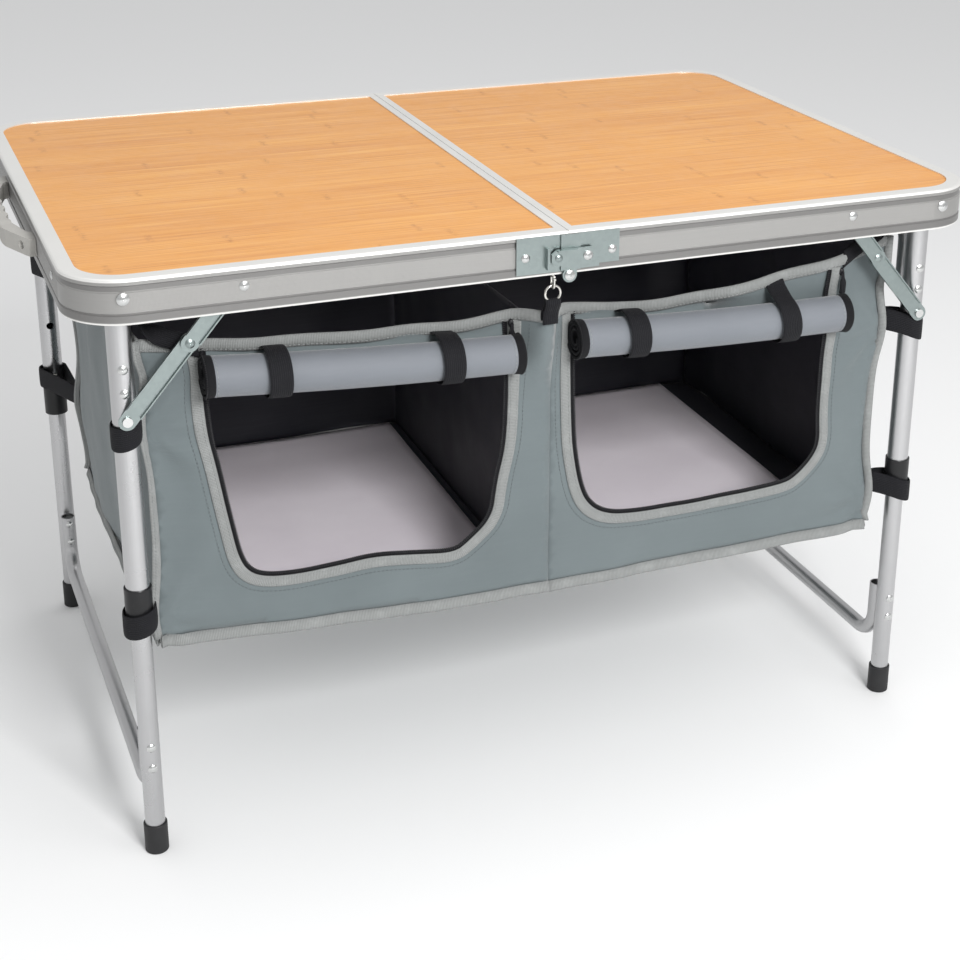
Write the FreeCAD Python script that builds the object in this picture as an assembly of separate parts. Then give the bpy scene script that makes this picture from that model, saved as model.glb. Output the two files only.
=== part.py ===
import FreeCAD, Part
import math
import os

from FreeCAD import Vector

# Folding aluminium camp kitchen table with a two-compartment fabric organiser
# hung under its top.  Millimetres, +Z up, +X along the length, -Y the front.
# The origin is the middle of the whole footprint, on the ground.

# ---- driving dimensions: table top
TOP_LENGTH = 900.0
TOP_DEPTH = 600.0
TOP_HEIGHT = 590.0
RIM_HEIGHT = 41.0
CORNER_RADIUS = 55.0
LIP_WIDTH = 15.0
WALL = 2.0
SEAM_GAP = 0.3
SEAM_LIP = 8.8
BOARD_THICKNESS = 3.0
HANDLE_REACH = 26.0
SCREW_Y = 101.0
SCREW_DROP = 4.5
SCREW_RADIUS = 2.0
SCREW_HEAD = 4.2
SCREW_SEAT = 8.0

# ---- driving dimensions: leg frames
LEG_INSET_X = 46.0
LEG_INSET_Y = 40.0
LEG_PIVOT_DROP = 17.0
UPPER_RADIUS = 11.0
LOWER_RADIUS = 9.5
TUBE_WALL = 1.2
RUNNING_GAP = 0.08
PART_GAP = 0.3
BAR_RADIUS = 8.0
BUTTON_Z = 300.0
SETTING_PITCH = 62.0
UPPER_END_Z = 258.0
LOWER_TOP_Z = 340.0
FOOT_HEIGHT = 31.0
BRACE_INSET_X = 149.0
BRACE_LOW_Z = 452.0
BRACE_LOW_LINK = 88.5
BRACE_HALF_WIDTH = 8.0
SHEET = 1.2
LINK_FLANGE = 2.2
PIN_TAIL = 1.5
UPPER_RIVETS = (499.0, 476.5)
LOWER_RIVETS = (117.5, 95.0)
RIVET_RADIUS = 2.0

# ---- driving dimensions: organiser
BAG_LEFT = -388.0
BAG_RIGHT = 370.0
BAG_FRONT = -257.0
BAG_BACK = 170.0
BAG_BOTTOM = 216.0
BAG_HEM = 511.0
BAG_DIVIDER = -22.0
FABRIC = 2.0
DOOR_BOTTOM = 268.0
DOOR_TOP = 490.0
DOOR_CORNER = 42.0
LEFT_DOOR = (-333.0, -45.0)
RIGHT_DOOR = (22.0, 307.0)
ROLL_RADIUS = 19.0
ROLL_Z = 477.0

# ---- derived places
RIVET_STAND = 1.6
SEAM_X = (HANDLE_REACH - RIVET_STAND) / 2
FRONT = -TOP_DEPTH / 2
RIM_BOTTOM = TOP_HEIGHT - RIM_HEIGHT
PIVOT_Z = TOP_HEIGHT - LEG_PIVOT_DROP
LEG_X = TOP_LENGTH / 2 - LEG_INSET_X
LEG_Y = TOP_DEPTH / 2 - LEG_INSET_Y
BRACE_X = TOP_LENGTH / 2 - BRACE_INSET_X
BAR_Y = LEG_Y - UPPER_RADIUS - BAR_RADIUS
LEDGE_Z = TOP_HEIGHT - 5.4
HINGE_Z = RIM_BOTTOM

X = Vector(1, 0, 0)
Y = Vector(0, 1, 0)
Z = Vector(0, 0, 1)


def save(name, *solids):
    """Write the solids of one sub-part, given about the seam, in the row frame."""
    shape = solids[0] if len(solids) == 1 else Part.makeCompound(list(solids))
    shape = shape.copy()
    shape.translate(Vector(SEAM_X, 0, 0))
    shape.exportStep(f"parts/{name}.step")


def box(x, y, z):
    """A box from three (low, high) pairs."""
    return Part.makeBox(x[1] - x[0], y[1] - y[0], z[1] - z[0], Vector(x[0], y[0], z[0]))


def rod(radius, start, end):
    """A solid round bar between two points."""
    line = end - start
    return Part.makeCylinder(radius, line.Length, start, line)


def pipe(outer, inner, start, end):
    """A round tube between two points."""
    return rod(outer, start, end).cut(rod(inner, start, end))


def crown_arc(at, radius, height, edge, tip_side):
    """The curved edge from a crown's tip to its rim; tip_side is -1 or +1."""
    ball = (radius * radius + height * height) / (2 * height)
    half = math.asin(min(1.0, radius / ball)) / 2
    centre = edge + tip_side * (height - ball)
    middle = at(ball * math.sin(half), centre + tip_side * ball * math.cos(half))
    return Part.Arc(at(0, edge + tip_side * height), middle, at(radius, edge)).toShape()


def turned(base, direction, steps, low_crown=0.0, high_crown=0.0):
    """A turned piece: (radius, from, to) steps along its axis, with crowned ends."""
    side = X if abs(direction.x) < 0.5 else Z

    def at(radius, along):
        return base + direction * along + side * radius

    first, last = steps[0], steps[-1]
    points = [at(radius, end) for radius, low, high in steps for end in (low, high)]
    edges = [
        Part.LineSegment(a, b).toShape()
        for a, b in zip(points, points[1:]) if a.distanceToPoint(b) > 1e-6
    ]
    if low_crown:
        edges.insert(0, crown_arc(at, first[0], low_crown, first[1], -1))
    else:
        edges.insert(0, Part.LineSegment(at(0, first[1]), points[0]).toShape())
    if high_crown:
        edges.append(crown_arc(at, last[0], high_crown, last[2], 1))
    else:
        edges.append(Part.LineSegment(points[-1], at(0, last[2])).toShape())
    foot, tip = at(0, first[1] - low_crown), at(0, last[2] + high_crown)
    edges.append(Part.LineSegment(tip, foot).toShape())
    outline = Part.Wire(Part.__sortEdges__(edges))
    return Part.Face(outline).revolve(base, direction, 360)


def fuse(shapes):
    """One solid from several touching ones."""
    whole = shapes[0].fuse(shapes[1:])
    return whole.removeSplitter()


def mirror_x(shape):
    return shape.mirror(Vector(0, 0, 0), X)


def mirror_y(shape):
    return shape.mirror(Vector(0, 0, 0), Y)


def both_ends(shape):
    """The same piece at the front and at the rear."""
    return [shape, mirror_y(shape)]


def face_of(points):
    return Part.Face(Part.makePolygon([*points, points[0]]))


# ---- table top: everything here is the left half, and the right is its mirror
def rim_section():
    """The rim's hollow section: u is inward from the outer face, v is height."""
    top, low = TOP_HEIGHT, RIM_BOTTOM
    outline = [
        (LIP_WIDTH, top), (2.4, top), (0.9, top - 0.5), (0.0, top - 2.0),
        (0.0, top - 5.4), (1.2, top - 6.4), (1.2, top - 11.4), (0.4, top - 12.2),
        (0.4, low + 11.0), (1.0, low + 10.4), (1.0, low + 9.4), (0.0, low + 8.6),
        (0.0, low + 2.2), (0.7, low + 0.6), (2.2, low), (8.0, low),
        (8.0, low + 1.4), (3.4, low + 1.4), (2.6, low + 2.4), (2.6, LEDGE_Z),
        (24.0, LEDGE_Z), (24.0, LEDGE_Z + 1.2), (LIP_WIDTH, LEDGE_Z + 1.2),
    ]
    chamber = [
        (LIP_WIDTH - 1.4, top - 1.6), (2.8, top - 1.6),
        (2.8, LEDGE_Z + 1.2), (LIP_WIDTH - 1.4, LEDGE_Z + 1.2),
    ]
    return outline, chamber


def rim_straight(start, end, inward):
    """A straight length of rim along its outer face line."""
    def at(point):
        return start + inward * point[0] + Z * point[1]

    outline, chamber = rim_section()
    solid = face_of([at(p) for p in outline]).extrude(end - start)
    return solid.cut(face_of([at(p) for p in chamber]).extrude(end - start))


def rim_corner(centre, start_angle):
    """A quarter turn of rim about a vertical axis."""
    outward = Vector(math.cos(start_angle), math.sin(start_angle), 0)

    def at(point):
        return centre + outward * (CORNER_RADIUS - point[0]) + Z * point[1]

    outline, chamber = rim_section()
    solid = face_of([at(p) for p in outline]).revolve(centre, Z, 90)
    return solid.cut(face_of([at(p) for p in chamber]).revolve(centre, Z, 90))


def pivot_holes():
    """Rivet holes through the front and rear walls at the leg and brace pivots."""
    front = [
        rod(radius, Vector(-x, FRONT - 5, PIVOT_Z), Vector(-x, FRONT + 10, PIVOT_Z))
        for x, radius in ((LEG_X, 3.0), (BRACE_X, 2.5))
    ]
    return front + [mirror_y(hole) for hole in front]


def half_rim():
    left = -TOP_LENGTH / 2
    turn = left + CORNER_RADIUS
    side = TOP_DEPTH / 2 - CORNER_RADIUS
    pieces = [
        rim_straight(Vector(turn, FRONT, 0), Vector(-SEAM_GAP, FRONT, 0), Y),
        rim_straight(Vector(turn, -FRONT, 0), Vector(-SEAM_GAP, -FRONT, 0), -Y),
        rim_straight(Vector(left, -side, 0), Vector(left, side, 0), X),
        rim_corner(Vector(turn, -side, 0), math.pi),
        rim_corner(Vector(turn, side, 0), math.pi / 2),
    ]
    rim = fuse(pieces)
    return rim.cut(pivot_holes() + half_pivot_pins())


def half_seam_rail():
    """The narrow edge strip of one half, between the two long rims."""
    reach = TOP_DEPTH / 2 - LIP_WIDTH
    strip = box((-SEAM_LIP, -SEAM_GAP), (-reach, reach), (TOP_HEIGHT - 8.0, TOP_HEIGHT))
    ledge_end = TOP_DEPTH / 2 - 24.0
    ledge = box(
        (-SEAM_LIP - 8.0, -SEAM_LIP), (-ledge_end, ledge_end), (LEDGE_Z, LEDGE_Z + 1.2)
    )
    groove = box(
        (-SEAM_LIP + 1.4, -SEAM_GAP - 1.4),
        (-reach, reach),
        (TOP_HEIGHT - 8.0, TOP_HEIGHT - 1.6),
    )
    rim_ledges = box((-SEAM_LIP, 0), (-reach, -ledge_end), (0, LEDGE_Z + 1.2))
    body = strip.fuse(ledge).cut([groove, rim_ledges, mirror_y(rim_ledges)])
    return body.removeSplitter()


def half_board():
    """The printed board of one half, filling the rim inside its lip."""
    left = -TOP_LENGTH / 2 + LIP_WIDTH
    reach = TOP_DEPTH / 2 - LIP_WIDTH
    low = LEDGE_Z + 1.2
    board = box((left, -SEAM_LIP), (-reach, reach), (low, low + BOARD_THICKNESS))
    corners = [
        edge for edge in board.Edges
        if abs(edge.BoundBox.ZLength - BOARD_THICKNESS) < 0.01 and edge.BoundBox.XMax < left + 1
    ]
    return board.makeFillet(CORNER_RADIUS - LIP_WIDTH, corners)


def half_pivot_pins():
    """Rivets, with their spacer sleeves, that the legs and braces turn on."""
    wall_inside = 2.6
    face = 0.4
    leg_front = -LEG_Y - UPPER_RADIUS - FRONT
    leg_back = leg_front + 2 * UPPER_RADIUS
    leg_pin = turned(Vector(-LEG_X, FRONT, PIVOT_Z), Y, [
        (5.5, face - 0.4, face), (3.0, face, wall_inside),
        (6.0, wall_inside, leg_front - PART_GAP), (3.0, leg_front - PART_GAP, leg_back + PART_GAP),
        (5.0, leg_back + PART_GAP, leg_back + 1.8),
    ], low_crown=1.8)
    web_front, web_back = [y - FRONT for y in upper_link_layer()]
    brace_pin = turned(Vector(-BRACE_X, FRONT, PIVOT_Z), Y, [
        (4.5, face - 0.4, face), (2.5, face, wall_inside),
        (5.0, wall_inside, web_front - PART_GAP), (2.5, web_front - PART_GAP, web_back + PART_GAP),
        (4.5, web_back + PART_GAP, web_back + PIN_TAIL),
    ], low_crown=1.6)
    return both_ends(leg_pin) + both_ends(brace_pin)


# ---- folding hinge and latch at the seam, the same at the front and the rear
PLATE_1 = (FRONT - 1.8, FRONT - PART_GAP)
PLATE_2 = (FRONT - 3.6, FRONT - 2.1)
LEVER = (FRONT - 5.6, FRONT - 4.0)
PLATE_LOW = RIM_BOTTOM + 4.0
PLATE_TOP = TOP_HEIGHT - 2.0
LOBE_RADIUS = 7.0
PLATE_RIVET = Vector(43.0, 0, RIM_BOTTOM + 20.0)
LATCH_PIVOT = Vector(17.0, 0, RIM_BOTTOM + 18.0)


def lobe(layer, side):
    """The round ear about the fold axis, with its neck up to the plate."""
    disc = rod(LOBE_RADIUS, Vector(0, layer[0], HINGE_Z), Vector(0, layer[1], HINGE_Z))
    low, high = sorted((side * LOBE_RADIUS, side * 0.5))
    neck = box((low, high), layer, (HINGE_Z, PLATE_LOW + 1.0))
    return [disc, neck]


def left_hinge_plate():
    plate = box((-52.0, -0.5), PLATE_1, (PLATE_LOW, PLATE_TOP))
    catch = box((-23.5, -21.0), (FRONT - 7.0, PLATE_1[1]), (RIM_BOTTOM + 8, RIM_BOTTOM + 28))
    hinge = fuse([plate, catch, *lobe(PLATE_1, -1)])
    pin_hole = rod(2.5, Vector(0, FRONT - 5, HINGE_Z), Vector(0, FRONT, HINGE_Z))
    return hinge.cut([pin_hole, rivet_hole(-PLATE_RIVET.x, PLATE_RIVET.z)])


def rivet_hole(x, z):
    return rod(2.0, Vector(x, FRONT - 5, z), Vector(x, FRONT + 1, z))


def right_hinge_plate():
    """The right plate lies on its rim and steps out over the left plate."""
    flat = box((9.0, 50.0), PLATE_1, (PLATE_LOW + 1, PLATE_TOP))
    notch = box((30.0, 51.0), (FRONT - 5, FRONT), (PLATE_LOW, PLATE_LOW + 4))
    step = box((9.0, 10.5), (PLATE_2[0], PLATE_1[1]), (PLATE_LOW + 1, PLATE_TOP))
    cover = box((-9.0, 10.5), PLATE_2, (PLATE_LOW + 1, PLATE_TOP))
    neck = box((0.5, LOBE_RADIUS), PLATE_2, (HINGE_Z, PLATE_LOW + 2))
    disc = rod(LOBE_RADIUS, Vector(0, PLATE_2[0], HINGE_Z), Vector(0, PLATE_2[1], HINGE_Z))
    hinge = fuse([flat.cut(notch), step, cover, neck, disc])
    pin_hole = rod(
        2.5 + RUNNING_GAP, Vector(0, FRONT - 5, HINGE_Z), Vector(0, FRONT, HINGE_Z)
    )
    return hinge.cut([
        pin_hole, rivet_hole(PLATE_RIVET.x, PLATE_RIVET.z), rivet_hole(LATCH_PIVOT.x, LATCH_PIVOT.z)
    ])


def hinge_pin():
    reach = PLATE_1[1] - PLATE_2[0]
    return turned(Vector(0, PLATE_1[1], HINGE_Z), -Y, [
        (2.5, 0.0, reach + PART_GAP), (5.0, reach + PART_GAP, reach + 0.9)
    ], high_crown=1.6)


def plate_rivet(side):
    thickness = PLATE_1[1] - PLATE_1[0]
    return turned(Vector(side * PLATE_RIVET.x, FRONT + 0.4, PLATE_RIVET.z), -Y, [
        (2.0, 0.0, thickness + 0.7), (4.2, thickness + 0.7, thickness + 1.1)
    ], high_crown=1.7)


def latch_rivet():
    lever_out = PLATE_1[1] - LEVER[0] + PART_GAP
    return turned(Vector(LATCH_PIVOT.x, PLATE_1[1], LATCH_PIVOT.z), -Y, [
        (2.0, 0.0, 1.5), (3.6, 1.5, PLATE_1[1] - LEVER[1] - 0.2),
        (2.0, PLATE_1[1] - LEVER[1] - 0.2, lever_out), (4.6, lever_out, lever_out + 0.5),
    ], high_crown=1.8)


def latch_lever():
    """A flat lever with a thumb tab, turning on its rivet in the right plate."""
    x, z = LATCH_PIVOT.x, LATCH_PIVOT.z
    outline = [
        (x + 8, z - 7), (x + 9, z + 3), (x + 4, z + 8), (-14.0, z + 8),
        (-19.0, z + 4), (-19.0, z - 4), (-15.0, z - 8), (x - 8, z - 8),
    ]
    plate = face_of([Vector(px, LEVER[0], pz) for px, pz in outline]).extrude(Y * 1.6)
    tab = box((-14.0, 6.0), (FRONT - 9.5, LEVER[1]), (z + 6.6, z + 8.0))
    rivet = turned(Vector(-12.0, LEVER[0], z), -Y, [(3.8, 0.0, 0.3)], high_crown=1.5)
    hole = rod(2.0 + RUNNING_GAP, Vector(x, FRONT - 9, z), Vector(x, FRONT, z))
    return fuse([plate, tab, rivet]).cut(hole)


# ---- carrying handle on the left end
def carry_handle():
    """A bowed grip with scalloped finger rests, on two screwed feet."""
    wall = -TOP_LENGTH / 2
    out = wall - HANDLE_REACH
    outline = [
        (wall, -114), (wall - 6, -114), (wall - 9, -108), (out + 3, -74), (out, -62),
        (out, 62), (out + 3, 74), (wall - 9, 108), (wall - 6, 114), (wall, 114),
        (wall, 92), (wall - 5, 88), (out + 12, 56), (out + 12, -56), (wall - 5, -88), (wall, -92),
    ]
    plan = face_of([Vector(px, py, PIVOT_Z - 13) for px, py in outline])
    grip = plan.extrude(Z * 17)
    rests = [
        Part.makeCylinder(16.0, 30, Vector(out + 25.4, 24.0 * step, PIVOT_Z - 20), Z)
        for step in (-1.5, -0.5, 0.5, 1.5)
    ]
    grip = grip.cut(rests)
    outer_edges = [
        edge for edge in grip.Edges
        if edge.BoundBox.XMax < wall - 5.5 and edge.BoundBox.ZLength < 0.1
        and edge.BoundBox.XMin < out + 9.5 and edge.BoundBox.YLength > 20
        and edge.BoundBox.XMax < out + 11
    ]
    grip = grip.makeFillet(3.0, outer_edges)
    for side in (-1, 1):
        grip = grip.cut(screw_hole(wall, side))
    return grip


def screw_hole(wall, side):
    """A hole with a flat counterbore for the screw's head."""
    z = PIVOT_Z - SCREW_DROP
    y = side * SCREW_Y
    hole = rod(SCREW_RADIUS, Vector(wall - 20, y, z), Vector(wall, y, z))
    seat = rod(SCREW_HEAD + 0.1, Vector(wall - 20, y, z), Vector(wall - SCREW_SEAT, y, z))
    return [hole, seat]


def handle_screw(side):
    wall = -TOP_LENGTH / 2
    return turned(Vector(wall, side * SCREW_Y, PIVOT_Z - SCREW_DROP), -X, [
        (SCREW_RADIUS, 0.0, SCREW_SEAT), (SCREW_HEAD, SCREW_SEAT, SCREW_SEAT + 0.4)
    ], high_crown=1.8)


def end_rivets():
    """Blind rivets on the short wall, each side of the handle."""
    wall = -TOP_LENGTH / 2
    crown = RIVET_STAND - 0.1
    return [
        turned(Vector(wall + 0.4, side * 214.0, PIVOT_Z), -X, [(4.2, 0.0, 0.5)], high_crown=crown)
        for side in (-1, 1)
    ]


# ---- leg frames: the left one, mirrored for the right
def leg(x, y, low, high, outer):
    return pipe(outer, outer - TUBE_WALL, Vector(x, y, low), Vector(x, y, high))


def upper_tube():
    """The upper leg tube: round-ended at its pivot, with button holes inside."""
    x, y = -LEG_X, -LEG_Y
    top = PIVOT_Z + UPPER_RADIUS
    tube = leg(x, y, UPPER_END_Z, top, UPPER_RADIUS)
    end = rod(UPPER_RADIUS + 0.2, Vector(x, y - 20, PIVOT_Z), Vector(x, y + 20, PIVOT_Z))
    body = box((x - 20, x + 20), (y - 20, y + 20), (UPPER_END_Z - 1, PIVOT_Z))
    tube = tube.common(fuse([end, body]))
    cuts = [rod(3.0 + RUNNING_GAP, Vector(x, y - 20, PIVOT_Z), Vector(x, y + 20, PIVOT_Z))]
    cuts += [frame_rivet(x, z, UPPER_RADIUS) for z in UPPER_RIVETS]
    cuts.append(rod(2.5, Vector(x, y - 20, BRACE_LOW_Z), Vector(x, y, BRACE_LOW_Z)))
    for z in (BUTTON_Z, BUTTON_Z + SETTING_PITCH):
        cuts.append(rod(4.0 + RUNNING_GAP, Vector(x, y, z), Vector(x, y + 20, z)))
    return tube.cut(cuts)


def frame_rivet(x, z, tube_radius):
    """A rivet from the front of a leg through the end of its cross bar."""
    front = -LEG_Y - tube_radius
    length = bar_y(tube_radius) + BAR_RADIUS - front
    return turned(Vector(x, front, z), Y, [
        (4.4, -0.2, 0.2), (RIVET_RADIUS, 0.2, length - 0.2), (4.0, length - 0.2, length + 0.2)
    ], low_crown=1.6, high_crown=1.4)


def bar_y(tube_radius):
    return -LEG_Y + tube_radius + BAR_RADIUS


def cross_bar(x, end_z, run_z, bend, tube_radius):
    """A U-shaped round bar: two upright ends against the legs and a cross run."""
    y = bar_y(tube_radius)
    up = 1 if run_z > end_z else -1
    start = Vector(x, y, end_z)
    turn = Vector(x, y, run_z - up * bend)
    run = Vector(x, y + bend, run_z)
    bulge = bend * (1 - math.sqrt(0.5))
    middle = Vector(x, y + bulge, run_z - up * bulge)
    path = Part.Wire([
        Part.LineSegment(start, turn).toShape(),
        Part.Arc(turn, middle, run).toShape(),
        Part.LineSegment(run, Vector(x, 0, run_z)).toShape(),
    ])

    def swept(radius):
        ring = Part.Wire(Part.makeCircle(radius, start, Z))
        return path.makePipeShell([ring], True, False)

    half = swept(BAR_RADIUS).cut(swept(BAR_RADIUS - TUBE_WALL))
    whole = fuse([half, mirror_y(half)])
    return whole


def upper_bar():
    bar = cross_bar(-LEG_X, 471.0, 545.0, 26.0, UPPER_RADIUS)
    cuts = [frame_rivet(-LEG_X, z, UPPER_RADIUS) for z in UPPER_RIVETS]
    return bar.cut(cuts + [mirror_y(cut) for cut in cuts])


def lower_bar():
    bar = cross_bar(-LEG_X, 125.0, 58.0, 30.0, LOWER_RADIUS)
    cuts = [frame_rivet(-LEG_X, z, LOWER_RADIUS) for z in LOWER_RIVETS]
    return bar.cut(cuts + [mirror_y(cut) for cut in cuts])


def brace_low_pin():
    """The rivet on the leg that carries the lower brace link."""
    leg_front = -LEG_Y - UPPER_RADIUS
    web_front, web_back = [leg_front - y for y in lower_link_layer()]
    return turned(Vector(-LEG_X, leg_front, BRACE_LOW_Z), -Y, [
        (2.5, -1.2, 0.0), (3.5, 0.0, web_back - PART_GAP),
        (2.5, web_back - PART_GAP, web_front + PART_GAP), (4.5, web_front + PART_GAP, web_front + 1.8),
    ])


def collar():
    """The plastic end ring of an upper tube, which guides the lower one."""
    x, y = -LEG_X, -LEG_Y
    guide = pipe(
        UPPER_RADIUS + 1.6, LOWER_RADIUS + PART_GAP,
        Vector(x, y, UPPER_END_Z - 5), Vector(x, y, UPPER_END_Z),
    )
    ring = pipe(
        UPPER_RADIUS + 1.6, UPPER_RADIUS,
        Vector(x, y, UPPER_END_Z), Vector(x, y, UPPER_END_Z + 26),
    )
    return fuse([ring, guide])


def lower_tube():
    x, y = -LEG_X, -LEG_Y
    tube = leg(x, y, 6.0, LOWER_TOP_Z, LOWER_RADIUS)
    cuts = [frame_rivet(x, z, LOWER_RADIUS) for z in LOWER_RIVETS]
    cuts.append(rod(4.0 + RUNNING_GAP, Vector(x, y, BUTTON_Z), Vector(x, y + 20, BUTTON_Z)))
    return tube.cut(cuts)


def foot():
    """A rubber cap on the end of a lower tube."""
    x, y = -LEG_X, -LEG_Y
    cap = rod(LOWER_RADIUS + 1.8, Vector(x, y, 0), Vector(x, y, FOOT_HEIGHT))
    rims = [edge for edge in cap.Edges if edge.BoundBox.ZLength < 0.01]
    cap = cap.makeFillet(1.2, rims)
    socket = rod(LOWER_RADIUS, Vector(x, y, 6.0), Vector(x, y, FOOT_HEIGHT + 1))
    return cap.cut(socket)


def snap_button():
    """A round-nosed button in the upper tube's hole, on the side facing its pair."""
    x = -LEG_X
    seat = -LEG_Y + LOWER_RADIUS + 0.35
    return turned(Vector(x, seat, BUTTON_Z), Y, [(4.0, 0.0, 3.0)], high_crown=2.4)


# ---- folding braces: two pressed channel links on each leg
def lower_link_layer():
    back = -LEG_Y - UPPER_RADIUS - 3.0
    return back - SHEET, back


def upper_link_layer():
    back = lower_link_layer()[0] - LINK_FLANGE - PART_GAP - PIN_TAIL
    return back - SHEET, back


def brace_ends():
    low = Vector(-LEG_X, 0, BRACE_LOW_Z)
    high = Vector(-BRACE_X, 0, PIVOT_Z)
    along = (high - low).normalize()
    return low, low + along * BRACE_LOW_LINK, high


def channel_link(start, end, layer, hole, flange_start, flange_end):
    """A flat bar with round ends and a shallow flange along each edge."""
    front, back = layer
    along = (end - start).normalize()
    across = along.cross(Y)
    half = BRACE_HALF_WIDTH
    corners = [start + across * half, end + across * half, end - across * half, start - across * half]
    web = face_of([Vector(c.x, front, c.z) for c in corners]).extrude(Y * (back - front))
    rounds = [rod(half, Vector(c.x, front, c.z), Vector(c.x, back, c.z)) for c in (start, end)]
    flanges = []
    for side in (-1, 1):
        a = start + along * flange_start + across * side * half
        b = end - along * flange_end + across * side * half
        inner = across * (-side * SHEET)
        strip = [a, b, b + inner, a + inner]
        flanges.append(
            face_of([Vector(c.x, front - LINK_FLANGE, c.z) for c in strip]).extrude(Y * LINK_FLANGE)
        )
    link = fuse([web, *rounds, *flanges])
    holes = [
        rod(radius, Vector(c.x, front - 3, c.z), Vector(c.x, back + 1, c.z))
        for c, radius in hole
    ]
    return link.cut(holes) if holes else link


def upper_link():
    elbow, high = brace_ends()[1:]
    link = channel_link(
        elbow, high, upper_link_layer(), [(high, 2.5 + RUNNING_GAP)], 4.0, 9.0
    )
    front = upper_link_layer()[0]
    rivet = turned(Vector(elbow.x, front, elbow.z), -Y, [(4.4, 0.0, 0.4)], high_crown=1.6)
    return fuse([link, rivet])


def lower_link():
    low, elbow = brace_ends()[:2]
    return channel_link(
        low, elbow, lower_link_layer(), [(low, 2.5 + RUNNING_GAP)], 9.0, 0.0
    )


# ---- organiser
def door_cut(door):
    """The doorway through the front panel: round lower corners."""
    block = box(door, (BAG_FRONT - 1, BAG_FRONT + FABRIC + 1), (DOOR_BOTTOM, DOOR_TOP))
    low_edges = [
        edge for edge in block.Edges
        if edge.BoundBox.YLength > 1 and edge.BoundBox.ZMax < DOOR_BOTTOM + 1
        and edge.BoundBox.XLength < 0.1
    ]
    return block.makeFillet(DOOR_CORNER, low_edges)


def organiser():
    front = box((BAG_LEFT, BAG_RIGHT), (BAG_FRONT, BAG_FRONT + FABRIC), (BAG_BOTTOM, BAG_HEM))
    front = front.cut([door_cut(LEFT_DOOR), door_cut(RIGHT_DOOR)])
    depth = (BAG_FRONT + FABRIC, BAG_BACK - FABRIC)
    height = (BAG_BOTTOM, BAG_HEM)
    inside = (BAG_BOTTOM + FABRIC, BAG_HEM)
    save("organiser_front_panel", front)
    save("organiser_back_panel", box((BAG_LEFT, BAG_RIGHT), (BAG_BACK - FABRIC, BAG_BACK), height))
    save("organiser_left_side", box((BAG_LEFT, BAG_LEFT + FABRIC), depth, height))
    save("organiser_right_side", box((BAG_RIGHT - FABRIC, BAG_RIGHT), depth, height))
    across = (BAG_LEFT + FABRIC, BAG_RIGHT - FABRIC)
    save("organiser_floor", box(across, depth, (BAG_BOTTOM, BAG_BOTTOM + FABRIC)))
    save("organiser_divider", box((BAG_DIVIDER - 1, BAG_DIVIDER + 1), depth, inside))
    board_depth = (depth[0] + 6, depth[1] - 6)
    board_height = (inside[0], inside[0] + 3)
    save("left_base_board", box((across[0] + 6, BAG_DIVIDER - 9), board_depth, board_height))
    save("right_base_board", box((BAG_DIVIDER + 9, BAG_RIGHT - 42), board_depth, board_height))
    for name, door in (("left", LEFT_DOOR), ("right", RIGHT_DOOR)):
        y = BAG_FRONT - ROLL_RADIUS - 0.6
        roll = rod(ROLL_RADIUS, Vector(door[0] - 4, y, ROLL_Z), Vector(door[1] + 8, y, ROLL_Z))
        save(f"{name}_rolled_door", roll)


STRAP_INNER = UPPER_RADIUS + 2.6
STRAP_WALL = 1.2


def leg_strap(x, y, corner, low, high):
    """A webbing loop round a leg, with its tail up to the bag's corner."""
    loop = pipe(STRAP_INNER + STRAP_WALL, STRAP_INNER, Vector(x, y, low), Vector(x, y, high))
    toward = (corner - Vector(x, y, 0)).normalize()
    start = Vector(x, y, 0) + toward * (STRAP_INNER + 0.4)
    side = toward.cross(Z) * (STRAP_WALL / 2)
    tail_points = [start + side, corner + side, corner - side, start - side]
    tail = face_of([Vector(p.x, p.y, low) for p in tail_points]).extrude(Z * (high - low))
    return fuse([loop, tail])


def leg_straps():
    """Eight loops: a high one and a low one on each leg."""
    straps = []
    for side, edge in ((-1, BAG_LEFT), (1, BAG_RIGHT)):
        gap = side * 0.5
        front_corner = Vector(edge + gap, BAG_FRONT + 6, 0)
        rear_corner = Vector(edge + gap, BAG_BACK - 3, 0)
        for low, high in ((424.0, 443.0), (229.0, 250.0)):
            straps.append(leg_strap(side * LEG_X, -LEG_Y, front_corner, low, high))
            straps.append(leg_strap(side * LEG_X, LEG_Y, rear_corner, low, high))
    return straps


# ---- the hook that holds the middle of the organiser's front hem
HOOK_X = -13.0
HOOK_Y = FRONT + 5.4
HOOK_TOP = RIM_BOTTOM - 2.4
HOOK_DROP = 8.0
HOOK_HALF = 3.6
WIRE = 1.1
GATE_EYE = 1.2
RING_RADIUS = 7.6
RING_WIRE = 1.2


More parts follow.
